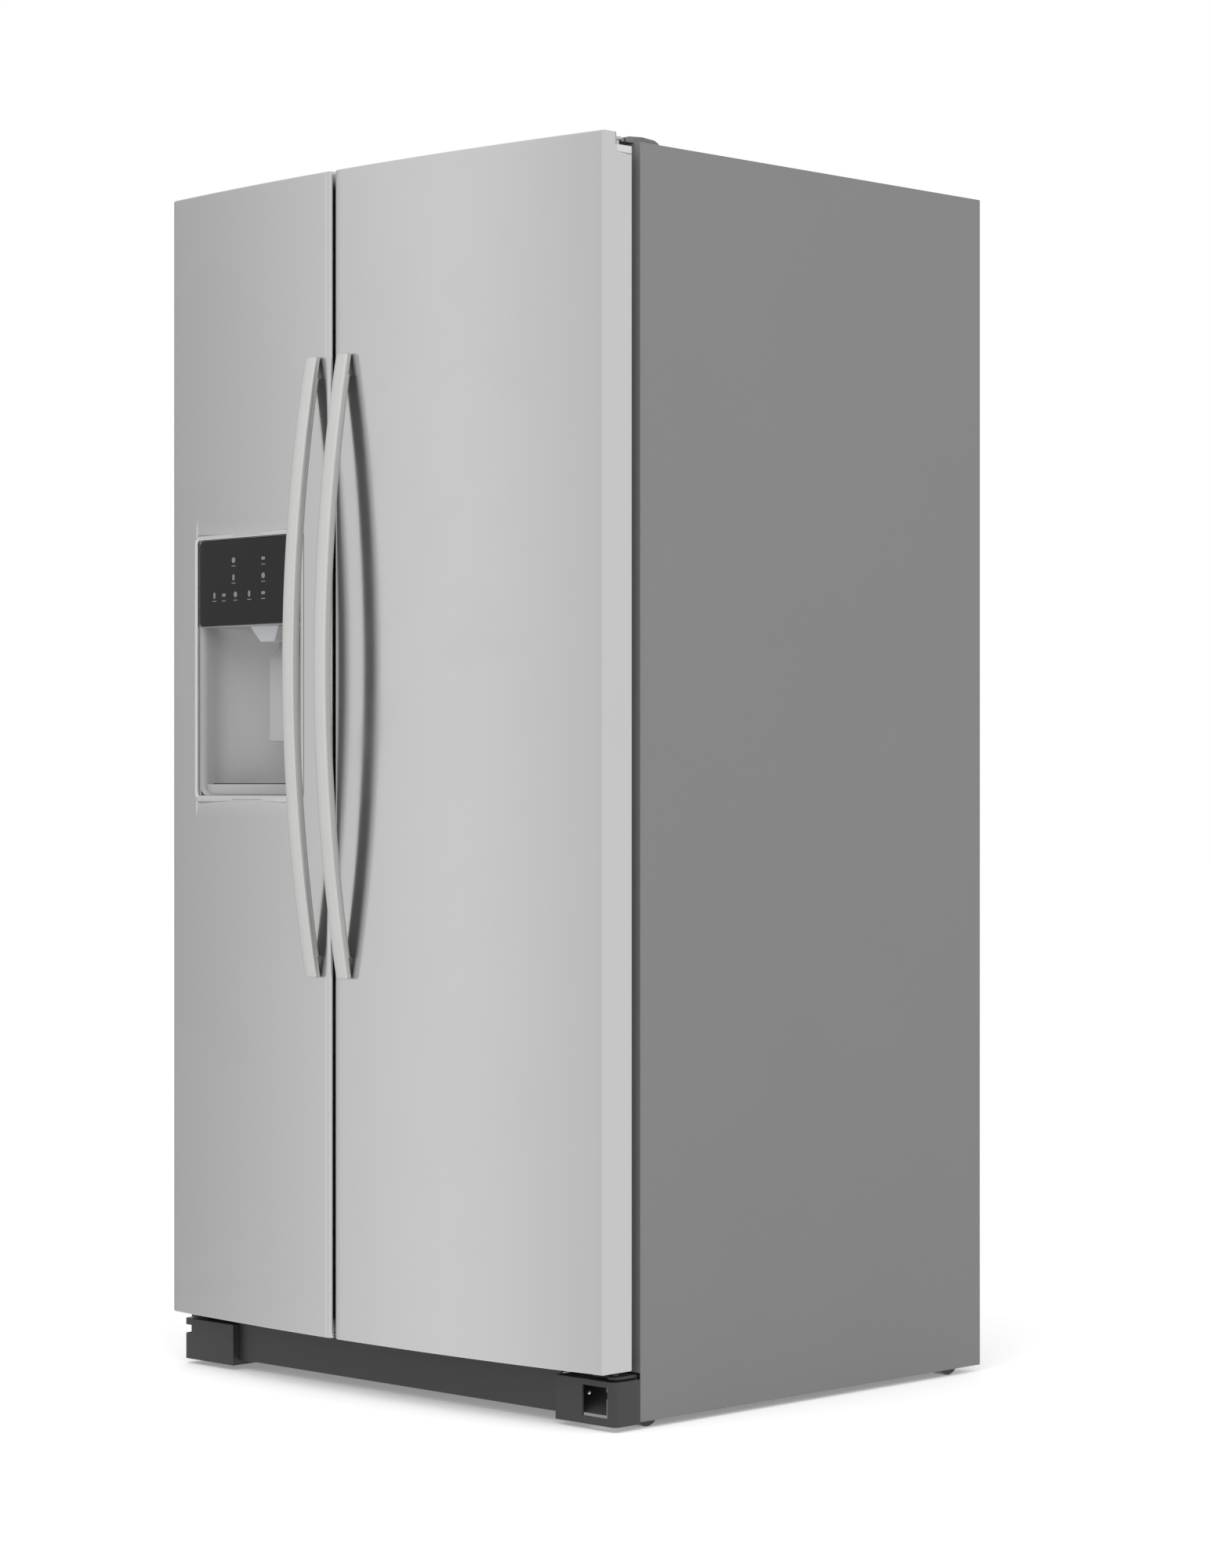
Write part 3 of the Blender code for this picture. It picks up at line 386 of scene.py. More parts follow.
def add(tree, kind, values=(), **settings):
    """A node with its settings, and its inputs set to numbers or linked to other outputs."""
    made = tree.nodes.new(kind)
    for key, value in settings.items():
        setattr(made, key, value)
    for key, value in dict(values).items():
        if isinstance(value, bpy.types.NodeSocket):
            tree.links.new(value, made.inputs[key])
        else:
            made.inputs[key].default_value = value
    return made


def effect(name, inputs, outputs):
    """An empty shader node group with its sockets, its input node and its output node."""
    tree = bpy.data.node_groups.new(name, "ShaderNodeTree")
    for label, kind, default in inputs:
        socket = tree.interface.new_socket(name=label, in_out="INPUT", socket_type=kind)
        if default is not None:
            socket.default_value = default
    for label, kind in outputs:
        tree.interface.new_socket(name=label, in_out="OUTPUT", socket_type=kind)
    return tree, tree.nodes.new("NodeGroupInput").outputs, tree.nodes.new("NodeGroupOutput").inputs


FLOAT, COLOUR, VECTOR = "NodeSocketFloat", "NodeSocketColor", "NodeSocketVector"


def make_effects():
    """The effects that several finishes share."""
    tree, given, out = effect("Fine Grain", [("Position", VECTOR, None), ("Scale", FLOAT, 900.0),
                                             ("Stretch", VECTOR, (1, 1, 1))], [("Value", FLOAT)])
    place = add(tree, "ShaderNodeMapping", {"Vector": given["Position"], "Scale": given["Stretch"]})
    fine = add(tree, "ShaderNodeTexNoise",
               {"Vector": place.outputs[0], "Scale": given["Scale"], "Detail": 3.0})
    tree.links.new(fine.outputs["Fac"], out["Value"])

    tree, given, out = effect("Colour Drift",
                              [("Position", VECTOR, None), ("Colour", COLOUR, (0.5, 0.5, 0.5, 1)),
                                               ("Scale", FLOAT, 3.0), ("Amount", FLOAT, 0.05)],
                                               [("Colour", COLOUR)])
    cloud = add(tree, "ShaderNodeTexNoise",
                {"Vector": given["Position"], "Scale": given["Scale"], "Detail": 4.0})
    swing = add(tree, "ShaderNodeMath", {0: cloud.outputs["Fac"], 1: 0.5}, operation="SUBTRACT")
    strength = add(tree, "ShaderNodeMath", {0: swing.outputs[0], 1: given["Amount"], 2: 1.0},
                   operation="MULTIPLY_ADD")
    toned = add(tree, "ShaderNodeVectorMath", {0: given["Colour"], "Scale": strength.outputs[0]},
                operation="SCALE")
    tree.links.new(toned.outputs[0], out["Colour"])

    tree, given, out = effect("Hand Smudges", [("Position", VECTOR, None), ("Scale", FLOAT, 9.0),
                                               ("Amount", FLOAT, 0.5)], [("Mask", FLOAT)])
    blot = add(tree, "ShaderNodeTexNoise",
               {"Vector": given["Position"], "Scale": given["Scale"], "Detail": 5.0, "Roughness": 0.6,
                "Distortion": 0.6})
    cut = add(tree, "ShaderNodeMapRange", {"Value": blot.outputs["Fac"], "From Min": 0.48, "From Max": 0.72},
              interpolation_type="SMOOTHSTEP")
    mask = add(tree, "ShaderNodeMath", {0: cut.outputs[0], 1: given["Amount"]}, operation="MULTIPLY")
    tree.links.new(mask.outputs[0], out["Mask"])

    tree, given, out = effect("Settled Dust", [("Position", VECTOR, None), ("Amount", FLOAT, 0.3)],
                              [("Mask", FLOAT)])
    facing = add(tree, "ShaderNodeNewGeometry")
    up = add(tree, "ShaderNodeSeparateXYZ", {0: facing.outputs["Normal"]})
    level = add(tree, "ShaderNodeMapRange", {"Value": up.outputs["Z"], "From Min": 0.6, "From Max": 1.0})
    speck = add(tree, "ShaderNodeTexNoise", {"Vector": given["Position"], "Scale": 60.0, "Detail": 6.0})
    spread = add(tree, "ShaderNodeMapRange",
                 {"Value": speck.outputs["Fac"], "From Min": 0.35, "From Max": 0.7})
    both = add(tree, "ShaderNodeMath", {0: level.outputs[0], 1: spread.outputs[0]}, operation="MULTIPLY")
    mask = add(tree, "ShaderNodeMath", {0: both.outputs[0], 1: given["Amount"]}, operation="MULTIPLY")
    tree.links.new(mask.outputs[0], out["Mask"])


def use(tree, name, **values):
    """Place a shared effect in a finish."""
    made = add(tree, "ShaderNodeGroup", node_tree=bpy.data.node_groups[name])
    for key, value in values.items():
        if isinstance(value, bpy.types.NodeSocket):
            tree.links.new(value, made.inputs[key])
        else:
            made.inputs[key].default_value = value
    return made.outputs[0]


# ---------------------------------------------------------------- finishes

def finish(name, colour, rough, grain=900.0, depth=0.0002, strength=0.25, stretch=(1, 1, 1), drift=0.10,
           drift_scale=4.0, smudge=0.0, dust=0.0, **sockets):
    """A finish: a colour that drifts, roughness from grain, smudges and dust, and a fine bump.

    rough is the roughness between the grain's hollows and its peaks. Other words name sockets of
    the shader, with underscores for spaces.
    """
    material = bpy.data.materials.new(f"{name} finish")
    material.use_nodes = True
    tree = material.node_tree
    shader = tree.nodes["Principled BSDF"]
    for key, value in sockets.items():
        shader.inputs[key.replace("_", " ")].default_value = value
    position = add(tree, "ShaderNodeTexCoord").outputs["Object"]
    toned = use(tree, "Colour Drift", Position=position, Colour=(*colour, 1), Scale=drift_scale, Amount=drift)
    value = use(tree, "Fine Grain", Position=position, Scale=grain, Stretch=stretch)
    roughness = add(tree, "ShaderNodeMapRange",
                    {"Value": value, "To Min": rough[0], "To Max": rough[1]}).outputs[0]
    if smudge:
        mask = use(tree, "Hand Smudges", Position=position, Scale=9.0, Amount=smudge)
        roughness = add(tree, "ShaderNodeMath", {0: roughness, 1: mask}, operation="ADD",
                        use_clamp=True).outputs[0]
    if dust:
        mask = use(tree, "Settled Dust", Position=position, Amount=dust)
        toned = mixed(tree, mask, toned, (0.42, 0.40, 0.37, 1))
        roughness = add(tree, "ShaderNodeMath", {0: roughness, 1: mask}, operation="MAXIMUM").outputs[0]
    tree.links.new(toned, shader.inputs["Base Color"])
    tree.links.new(roughness, shader.inputs["Roughness"])
    bump = add(tree, "ShaderNodeBump", {"Height": value, "Distance": depth, "Strength": strength})
    tree.links.new(bump.outputs[0], shader.inputs["Normal"])
    return material


def mixed(tree, mask, first, second):
    """The colour between two, by a mask."""
    made = tree.nodes.new("ShaderNodeMix")
    made.data_type = "RGBA"
    for socket, value in zip((made.inputs[0], made.inputs[6], made.inputs[7]), (mask, first, second)):
        if isinstance(value, bpy.types.NodeSocket):
            tree.links.new(value, socket)
        else:
            socket.default_value = value
    return made.outputs[2]


def make_finishes():
    """All finishes of the refrigerator, by name."""
    chosen = colours()
    finish("door_steel", chosen.door_steel, (0.13, 0.17), grain=160.0, depth=0.0000015, strength=0.05,
           stretch=(1, 1, 12), drift=0.03, smudge=0.04, Metallic=1.0)
    finish("handle_steel", chosen.handle_steel, (0.26, 0.31), grain=120.0, depth=0.000001, strength=0.08,
           stretch=(4, 4, 1), drift=0.04, smudge=0.06, Metallic=0.65)
    finish("cabinet_paint", chosen.cabinet_paint, (0.42, 0.56), grain=520.0, depth=0.0003, strength=0.35,
           drift=0.05, dust=0.10)
    finish("trim", (0.72, 0.72, 0.71), (0.16, 0.26), grain=400.0, depth=0.000003, strength=0.15,
           stretch=(1, 1, 12), drift=0.03, smudge=0.05, Metallic=1.0)
    finish("gloss_black", (0.012, 0.012, 0.013), (0.05, 0.10), grain=240.0, depth=0.00001, strength=0.05,
           drift=0.2, smudge=0.10, Specular_IOR_Level=0.2)
    finish("panel_marks", (0.20, 0.205, 0.21), (0.45, 0.6), grain=1500.0, depth=0.00002, drift=0.05)
    finish("recess_plastic", chosen.recess, (0.34, 0.46), grain=1300.0, depth=0.0001, strength=0.25,
           drift=0.05)
    finish("light_plastic", (0.56, 0.57, 0.58), (0.32, 0.44), grain=1200.0, depth=0.0001, strength=0.2,
           drift=0.05)
    finish("cap_plastic", (0.15, 0.15, 0.153), (0.42, 0.55), grain=1100.0, depth=0.0002, strength=0.3,
           drift=0.08, dust=0.12)
    finish("base_plastic", chosen.base, (0.40, 0.55), grain=1000.0, depth=0.0002, strength=0.35, drift=0.10,
           dust=0.15)
    finish("dark_plastic", (0.022, 0.022, 0.023), (0.38, 0.55), grain=900.0, depth=0.0002, strength=0.3,
           drift=0.15, dust=0.12)
    finish("seal_rubber", (0.075, 0.075, 0.077), (0.55, 0.72), grain=800.0, depth=0.0002, strength=0.3,
           drift=0.10)
    finish("white_plastic", (0.83, 0.84, 0.84), (0.22, 0.34), grain=700.0, depth=0.00008, strength=0.2,
           drift=0.03)
    finish("zinc", (0.58, 0.585, 0.59), (0.30, 0.50), grain=70.0, depth=0.00003, strength=0.15, drift=0.12,
           drift_scale=45.0, dust=0.15, Metallic=1.0)
    finish("black_steel", (0.045, 0.045, 0.046), (0.34, 0.48), grain=500.0, depth=0.0002, strength=0.3,
           drift=0.12, dust=0.12, Metallic=0.3)
    # The finish of the handle's back is painted shade: a darker grey than the handle, for the shade under it
    # and its dark reflection in the door.
    finish("handle_painted_shade", (0.36, 0.36, 0.355), (0.40, 0.55), grain=900.0, depth=0.0002, strength=0.3,
           drift=0.10)
    finish("bright_screw", (0.75, 0.74, 0.70), (0.18, 0.30), grain=600.0, depth=0.00005, strength=0.3,
           drift=0.08, Metallic=1.0)
    finish("foam", (0.80, 0.74, 0.55), (0.85, 0.98), grain=420.0, depth=0.002, strength=0.6, drift=0.15,
           drift_scale=12.0)
    finish("shelf_glass", (0.86, 0.95, 0.93), (0.01, 0.03), grain=30.0, depth=0.00001, strength=0.03,
           drift=0.02, smudge=0.04, Transmission_Weight=1.0, IOR=1.5)
    finish("clear_plastic", (0.93, 0.96, 0.97), (0.04, 0.09), grain=200.0, depth=0.00003, strength=0.08,
           drift=0.02, smudge=0.05, Transmission_Weight=1.0, IOR=1.49)


def made_of(name):
    return bpy.data.materials[f"{name} finish"]


def carried(material, *names):
    """CAD nodes that keep their own shape get a finish."""
    for name in names:
        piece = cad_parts[name]
        if not piece.material_slots:
            piece.data.materials.append(None)
        piece.material_slots[0].link = "OBJECT"
        piece.material_slots[0].material = made_of(material)


def finished_copy(node, body, material, width=0.0006, segments=2):
    """A CAD node's shape with soft edges, dressed and standing for that node."""
    return dress(copy_of(node, width, segments), body, made_of(material), node)


# ---------------------------------------------------------------- doors

def door_steel(body, hole=None):
    """The bowed sheet of one door with its raised lip along the top.

    u runs from the fold behind the left side round the front to the fold behind the right side,
    with a quarter circle at each front corner. v runs up the sheet: a small roll at the bottom, the wall, a
    quarter circle of radius r at the top, the lip's top ruled to a straight line at the lip's back,
    and down behind it. Behind the lip the wall ends lower. hole is left out of the faces.
    """
    low, high = SKINS[body]
    r, roll, fold = sizes().door_corner, 0.003, 0.010
    lip = low[Y] + sizes().door_bow + sizes().lip_depth
    rear_top = high[Z] - sizes().lip_rise
    across = np.linspace(low[X] + r, high[X] - r, 61)
    if hole:
        across = np.unique(np.concatenate([across, [hole[0], hole[1]]]))
    sides = []
    for x, sign in ((low[X], 1), (high[X], -1)):
        a = arc(0, 90, 6)
        turn = np.stack([x + sign * r * (1 - np.cos(a)), door_front(x + sign * r) + r * (1 - np.sin(a))],
                        axis=1)
        back = np.array([[x + sign * fold, DOOR_BACK], [x, DOOR_BACK], [x, (DOOR_BACK + lip) / 2],
                         [x, lip + 1e-5], [x, lip], [x, lip - 0.004]])
        sides.append(np.concatenate([back, turn[:-1]]))
    front = np.stack([across, door_front(across)], axis=1)
    path = np.concatenate([sides[0], front, sides[1][::-1]])
    tangent = np.gradient(path, axis=0)
    tangent /= np.linalg.norm(tangent, axis=1)[:, None] + 1e-12
    inward = np.stack([-tangent[:, 1], tangent[:, 0]], axis=1)
    raised = path[:, 1] <= lip + 2e-6
    top = np.where(raised, high[Z], rear_top)
    target = np.stack([np.clip(path[:, 0], low[X] + roll, high[X] - roll), np.full(len(path), lip)], axis=1)
    levels = np.linspace(low[Z] + roll, rear_top - 0.004, 41)
    if hole:
        levels = np.unique(np.concatenate([levels, [hole[2], hole[3]]]))
    rows = []
    for inset, z in [(0.010, low[Z])] + [(roll * (1 - math.sin(t)), low[Z] + roll * (1 - math.cos(t)))
                                         for t in arc(0, 90, 3)]:
        rows.append(np.column_stack([path + inward * inset, np.full(len(path), z)]))
    rows += [np.column_stack([path, np.full(len(path), z)]) for z in levels]
    rows.append(np.column_stack([path, np.minimum(top - roll, np.where(raised, high[Z] - roll, rear_top))]))
    for t in arc(0, 90, 4)[1:]:
        shift = np.where(raised, roll * (1 - math.cos(t)), 0)[:, None]
        height = np.where(raised, high[Z] - roll + roll * math.sin(t), rear_top)
        rows.append(np.column_stack([path + inward * shift, height]))
    start = rows[-1][:, :2]
    for s in (0.5, 1.0):
        flat = np.where(raised[:, None], start + (target - start) * s, path)
        rows.append(np.column_stack([flat, top]))
    rows.append(np.column_stack([np.where(raised[:, None], target, path),
                                 np.where(raised, rear_top + 0.0004, rear_top)]))
    grid = np.array(rows)
    keep = np.ones((len(rows) - 1, len(path) - 1), bool)
    step = raised[1:] != raised[:-1]
    keep[-7:, step] = False
    if hole:
        middle = (grid[:-1, :-1] + grid[1:, 1:]) / 2
        keep &= ~((middle[..., X] > hole[0]) & (middle[..., X] < hole[1]) & (middle[..., Z] > hole[2])
                  & (middle[..., Z] < hole[3]) & (middle[..., Y] < lip))
    piece = faced(surface(f"{body}_steel", grid, keep=keep))
    return dress(solidified(piece, sizes().door_steel), body, made_of("door_steel"), f"{body}_skin")


def bar_handle(body):
    """A bar in a shallow arc, standing off its door in the middle and touching it at its ends.

    Each row is a rounded rectangle at one height. Its outer face follows end + (crown - end)
    (1 - t squared) with t from -1 to 1 over the height, and its inner face the same with the gap.
    At the ends the row shrinks on a quarter circle.
    """
    low, high = box(f"{body}_handle")
    edge = sizes().handle_edge
    # The darker strip on the handle's back is painted shade.
    painted_shade_strip = handle_painted_shade(body, low, high)
    middle, half = (low[Z] + high[Z]) / 2, (high[Z] - low[Z]) / 2
    seat = float(min(door_front(low[X]), door_front(high[X]))) - 0.0003
    end, turn = 0.004, arc(0, 90, 8)
    straight = half - end
    height = np.concatenate([-straight - end * np.cos(turn), np.linspace(-straight, straight, 73)[1:-1],
                             straight + end * np.sin(turn)])
    inset = np.zeros(len(height))
    inset[:len(turn)] = end * (1 - np.sin(turn))
    inset[-len(turn):] = end * (1 - np.cos(turn))
    rise = 1 - (height / half) ** 2
    outer = seat - sizes().handle_end + (low[Y] - seat + sizes().handle_end) * rise
    inner = seat + (low[Y] + sizes().handle_middle - seat) * rise
    loops = []
    for z, cut, near, far in zip(height, inset, outer, inner):
        loop = rounded_loop((low[X] + cut, near + cut), (high[X] - cut, far - cut), edge - cut * 0.9, 5)
        loops.append(np.column_stack([loop, np.full(len(loop), middle + z)]))
    piece = outwards(surface(f"{body}_bar", capped(loops), round_u=True))
    dress(painted_shade_strip, body, made_of("handle_painted_shade"))
    return dress(piece, body, made_of("handle_steel"), f"{body}_handle")


def handle_painted_shade(body, low, high):
    """A darker strip on the handle's back, along the part that stands clear of the door: painted shade, which
    the door also shows as a dark reflection.
    """
    middle, half = (low[Z] + high[Z]) / 2, (high[Z] - low[Z]) / 2
    seat = float(min(door_front(low[X]), door_front(high[X]))) - 0.0003
    loops = []
    for t in np.linspace(-0.93, 0.93, 61):
        inner = seat + (low[Y] + sizes().handle_middle - seat) * (1 - t ** 2)
        loop = rounded_loop((low[X] + 0.0004, inner - 0.005), (high[X] + 0.0002, inner + 0.0006), 0.0016, 3)
        loops.append(np.column_stack([loop, np.full(len(loop), middle + half * t)]))
    return outwards(surface(f"{body}_bar_painted_shade", capped(loops), round_u=True))


# ---------------------------------------------------------------- dispenser

def dispenser_frame():
    """The thin raised frame: a rounded loop carried from its outer edge over the crown to its inner edge.

    y is the door's front plus the profile's height, so the frame follows the bow.
    """
    low, high = FRAME_BOX[LOW][[X, Z]], FRAME_BOX[HIGH][[X, Z]]
    width = 0.0095
    profile = [(0.0, 0.0), (0.0004, -0.0012), (0.0016, -0.0018), (width - 0.003, -0.0016),
               (width - 0.001, -0.0008), (width, 0.0012), (width, 0.006)]
    rows = []
    for inset, lift in profile:
        loop = rounded_loop(low + inset, high - inset * 0.72, 0.010 - inset * 0.5, 6)
        rows.append(np.column_stack([loop[:, 0], door_front(loop[:, 0]) + lift, loop[:, 1]]))
    piece = surface("dispenser_trim", np.array(rows), round_u=True)
    mesh = piece.data
    if mesh.polygons[len(rows) * 3].normal.y > 0:
        mesh.flip_normals()
    return dress(piece, FREEZER, made_of("trim"), "dispenser_frame")


def recess():
    """The moulded recess: half an ellipse in plan, drawn in on quarter circles at floor and ceiling.

    Each row is the plan moved inwards by an inset at one height. The insets grow until the plan
    is a line, which closes the floor and the ceiling.
    """
    low, high = HOUSING
    centre = (low[X] + high[X]) / 2
    floor, ceiling = low[Z] + 0.003, PANEL[LOW][Z] - 0.0005
    half, shoulder, back = 0.1205, -0.335, -0.276
    bottom, top = 0.012, 0.030
    rows = [(s, floor) for s in np.linspace(half, bottom, 6)]
    rows += [(bottom * (1 - math.sin(a)), floor + bottom * (1 - math.cos(a))) for a in arc(0, 90, 5)]
    rows += [(0.0, z) for z in np.linspace(floor + bottom, ceiling - top, 12)[1:-1]]
    head = len(rows)
    rows += [(top * (1 - math.cos(a)), ceiling - top + top * math.sin(a)) for a in arc(0, 90, 8)]
    rows += [(s, ceiling) for s in np.linspace(top, half, 6)[1:]]
    turns = arc(0, 180, 32)
    grid = []
    for number, (inset, z) in enumerate(rows):
        reach = half if head <= number < head + 9 else max(half - inset, 0.0)
        deep = max(back - shoulder - inset * 0.8, 0.0)
        x = centre - reach * np.cos(turns)
        y = shoulder + deep * np.sin(turns)
        x = np.concatenate([[x[0], x[0], x[0]], x[1:-1], [x[-1], x[-1], x[-1]]])
        mouth = float(door_front(centre - half)) + 0.004
        y = np.concatenate([[mouth, (mouth + shoulder) / 2, shoulder], y[1:-1],
                            [shoulder, (mouth + shoulder) / 2, mouth]])
        grid.append(np.column_stack([x, y, np.full(len(x), z)]))
    inside = surface("recess", np.array(grid), smooth=60)
    mesh = inside.data
    flip = sum(polygon.normal.y * polygon.area for polygon in mesh.polygons) > 0
    if flip:
        mesh.flip_normals()
    solidified(inside, 0.0015).modifiers[0].use_even_offset = False
    return dress(inside, FREEZER, made_of("recess_plastic"), "dispenser_housing")


def recess_rim():
    """The narrow flat lip between the recess and the frame, on the door's front."""
    low, high = HOUSING[LOW][[X, Z]], HOUSING[HIGH][[X, Z]]
    rows = []
    for inset, lift in ((-0.0002, 0.0045), (0.0, 0.0032), (0.0010, 0.0032), (0.0014, 0.0050)):
        loop = rounded_loop(low + inset, high - inset, 0.0045, 5)
        rows.append(np.column_stack([loop[:, 0], door_front(loop[:, 0]) + lift, loop[:, 1]]))
    piece = surface("recess_rim", np.array(rows), round_u=True)
    if sum(polygon.normal.y * polygon.area for polygon in piece.data.polygons) > 0:
        piece.data.flip_normals()
    return dress(piece, FREEZER, made_of("recess_plastic"))


def control_panel():
    """The gloss black panel and its plain marks: rings, drops and bars with no meaning of their own."""
    low, high = PANEL[LOW][[X, Z]], PANEL[HIGH][[X, Z]]
    panel = bowed_plate("control_panel", low + 0.0002, high - 0.0002, 0.006, 0.0008, 0.006, 0.0012)
    dress(panel, FREEZER, made_of("gloss_black"), "dispenser_panel")
    marks = []
    width, height = high - low
    spots = [(0.36, 0.76), (0.36, 0.56), (0.66, 0.76), (0.66, 0.56), (0.16, 0.36), (0.26, 0.36),
             (0.38, 0.36), (0.52, 0.36), (0.66, 0.36)]
    for number, (across, up) in enumerate(spots):
        at = low + np.array([across * width, up * height])
        size = np.array([(0.0042, 0.0042), (0.0026, 0.0046), (0.0046, 0.0022)][number % 3])
        marks.append(bowed_plate(f"mark_{number}", at - size, at + size, min(size) * 0.95, 0.0006, 0.0012,
                                 0.0001, 2))
        line = at + np.array([0.0, -0.0085])
        marks.append(bowed_plate(f"line_{number}", line - (0.005, 0.0006), line + (0.005, 0.0006), 0.0005,
                                 0.0006, 0.0012, 0.0001, 2))
    dress(merged("panel_marks", marks), FREEZER, made_of("panel_marks"))


def tray_grille():
    """Slim dark bars that lie across the drip tray's slots."""
    low, high = box("drip_tray")
    bars = []
    for y in np.linspace(low[Y] + 0.006, low[Y] + 0.052, 6):
        reach = (high[X] - low[X]) / 2 - 0.010 - 0.35 * max(y - low[Y] - 0.02, 0)
        middle = (high[X] + low[X]) / 2
        bars.append(rounded_block("bar", (middle - reach, y - 0.0022, high[Z] - 0.0012),
                                  (middle + reach, y + 0.0022, high[Z] + 0.0016), 0.0010, 3))
    dress(outwards(merged("tray_grille", bars)), "tray", made_of("dark_plastic"))


# ---------------------------------------------------------------- base

def bracket(sign):
    """The black plate behind a corner cover, with one round-headed screw in it."""
    face, back = -0.2906, -0.2892
    near, far = sorted((sign * 0.335, sign * 0.3935))
    plate = rounded_block("corner_bracket", (near, face, 0.012), (far, back, 0.066), 0.0005, 2)
    dress(plate, CABINET, made_of("black_steel"))
    head = [(0.0001, -0.0024), (0.0020, -0.0021), (0.0034, -0.0011), (0.0039, 0.0), (0.0001, 0.0002)]
    screw = turned("corner_bracket_screw", head, (sign * 0.360, face, 0.041), Y, 24)
    dress(screw, CABINET, made_of("bright_screw"))


# ---------------------------------------------------------------- operators

class RefrigeratorPiece:
    """What the operators share."""

    bl_options = {"REGISTER", "UNDO"}

    def execute(self, context):
        self.make()
        return {"FINISHED"}


class REFRIGERATOR_OT_finishes(RefrigeratorPiece, bpy.types.Operator):
    """Make the shared effects and all finishes"""

    bl_idname = "refrigerator.finishes"
    bl_label = "Finishes"

    def make(self):
        make_effects()
        make_finishes()


class REFRIGERATOR_OT_doors(RefrigeratorPiece, bpy.types.Operator):
    """Make both doors: steel, foam, caps, inner sheet, bins and seal"""

    bl_idname = "refrigerator.doors"
    bl_label = "Doors"

    def make(self):
        inner = 0.006
        hole = (FRAME_BOX[LOW][X] + inner, FRAME_BOX[HIGH][X] - inner, FRAME_BOX[LOW][Z] + inner * 0.7,
                FRAME_BOX[HIGH][Z] - inner * 0.7)
        door_steel(FREEZER, hole)
        door_steel(FRIDGE)
        carried("foam", "freezer_door_foam", "fridge_door_foam")
        for body in (FREEZER, FRIDGE):
            for node, finish_name, width in (("cap_top", "light_plastic", 0.0008),
                                             ("cap_bottom", "cap_plastic", 0.0008),
                                             ("liner", "white_plastic", 0.003),
                                             ("bins", "white_plastic", 0.0008),
                                             ("gasket", "seal_rubber", 0.0015)):
                finished_copy(f"{body}_{node}", body, finish_name, width, 3)
        finished_copy("dairy_lid", "dairy_lid", "clear_plastic", 0.0008, 3)


class REFRIGERATOR_OT_handles(RefrigeratorPiece, bpy.types.Operator):
    """Make both bar handles"""

    bl_idname = "refrigerator.handles"
    bl_label = "Handles"

    def make(self):
        bar_handle(FREEZER)
        bar_handle(FRIDGE)


class REFRIGERATOR_OT_dispenser(RefrigeratorPiece, bpy.types.Operator):
    """Make the dispenser: frame, recess, control panel, chute, paddle and tray"""

    bl_idname = "refrigerator.dispenser"
    bl_label = "Dispenser"

    def make(self):
        dispenser_frame()
        recess()
        recess_rim()
        control_panel()
        finished_copy("ice_chute", FREEZER, "light_plastic", 0.0012, 3)
        finished_copy("dispenser_paddle", "paddle", "recess_plastic", 0.0010, 3)
        finished_copy("drip_tray", "tray", "recess_plastic", 0.0010, 3)
        tray_grille()


class REFRIGERATOR_OT_cabinet(RefrigeratorPiece, bpy.types.Operator):
    """Make the cabinet: painted sheet, foam, liners, back, hinges and their covers"""

    bl_idname = "refrigerator.cabinet"
    bl_label = "Cabinet"

    def make(self):
        finished_copy("cabinet_wrapper", CABINET, "cabinet_paint", 0.0005, 2)
        carried("foam", "cabinet_foam")
        for side in ("freezer", "fridge"):
            finished_copy(f"{side}_liner", CABINET, "white_plastic", 0.0008, 2)
        finished_copy("back_panel", CABINET, "zinc", 0.0004, 1)
        finished_copy("machine_cover", CABINET, "dark_plastic", 0.0004, 1)
        for side in SIDES:
            finished_copy(f"top_hinge_{side}", CABINET, "zinc", 0.0006, 2)
            finished_copy(f"bottom_hinge_{side}", CABINET, "black_steel", 0.0006, 2)
            finished_copy(f"hinge_cover_{side}", CABINET, "cap_plastic", 0.0010, 3)


class REFRIGERATOR_OT_base(RefrigeratorPiece, bpy.types.Operator):
    """Make the base: frame, grille, corner covers, rollers and levelling screws"""

    bl_idname = "refrigerator.base"
    bl_label = "Base"

    def make(self):
        finished_copy("base_frame", CABINET, "black_steel", 0.0004, 1)
        finished_copy("base_grille", CABINET, "base_plastic", 0.0008, 2)
        for sign, side in zip((-1, 1), SIDES):
            bracket(sign)
            finished_copy(f"corner_cover_{side}", CABINET, "base_plastic", 0.0010, 3)
            finished_copy(f"levelling_screw_{side}", f"levelling_screw_{side}", "bright_screw", 0.0004, 2)
            for end in ("front", "rear"):
                node = f"{end}_roller_{side}"
                finished_copy(node, node, "dark_plastic", 0.0010, 2)


class REFRIGERATOR_OT_inside(RefrigeratorPiece, bpy.types.Operator):
    """Make the shelves, drawers, baskets, ice maker and evaporator cover"""

    bl_idname = "refrigerator.inside"
    bl_label = "Inside"

    def make(self):
        for node in ("crisper_cover", "fridge_shelf_lower", "fridge_shelf_upper", "freezer_shelf_lower",
                     "freezer_shelf_upper"):
            finished_copy(node, CABINET, "shelf_glass", 0.0010, 2)
        finished_copy("evaporator_cover", CABINET, "white_plastic", 0.0012, 2)
        finished_copy("ice_maker", CABINET, "white_plastic", 0.0020, 3)
        for node, finish_name in (("crisper_upper", "clear_plastic"), ("crisper_lower", "clear_plastic"),
                                  ("ice_bin", "clear_plastic"), ("freezer_basket_upper", "white_plastic"),
                                  ("freezer_basket_lower", "white_plastic")):
            low, high = box(node)
            piece = tub(f"{node}_tub", low, high, 0.003, sizes().tub_corner)
            dress(piece, node, made_of(finish_name), node)


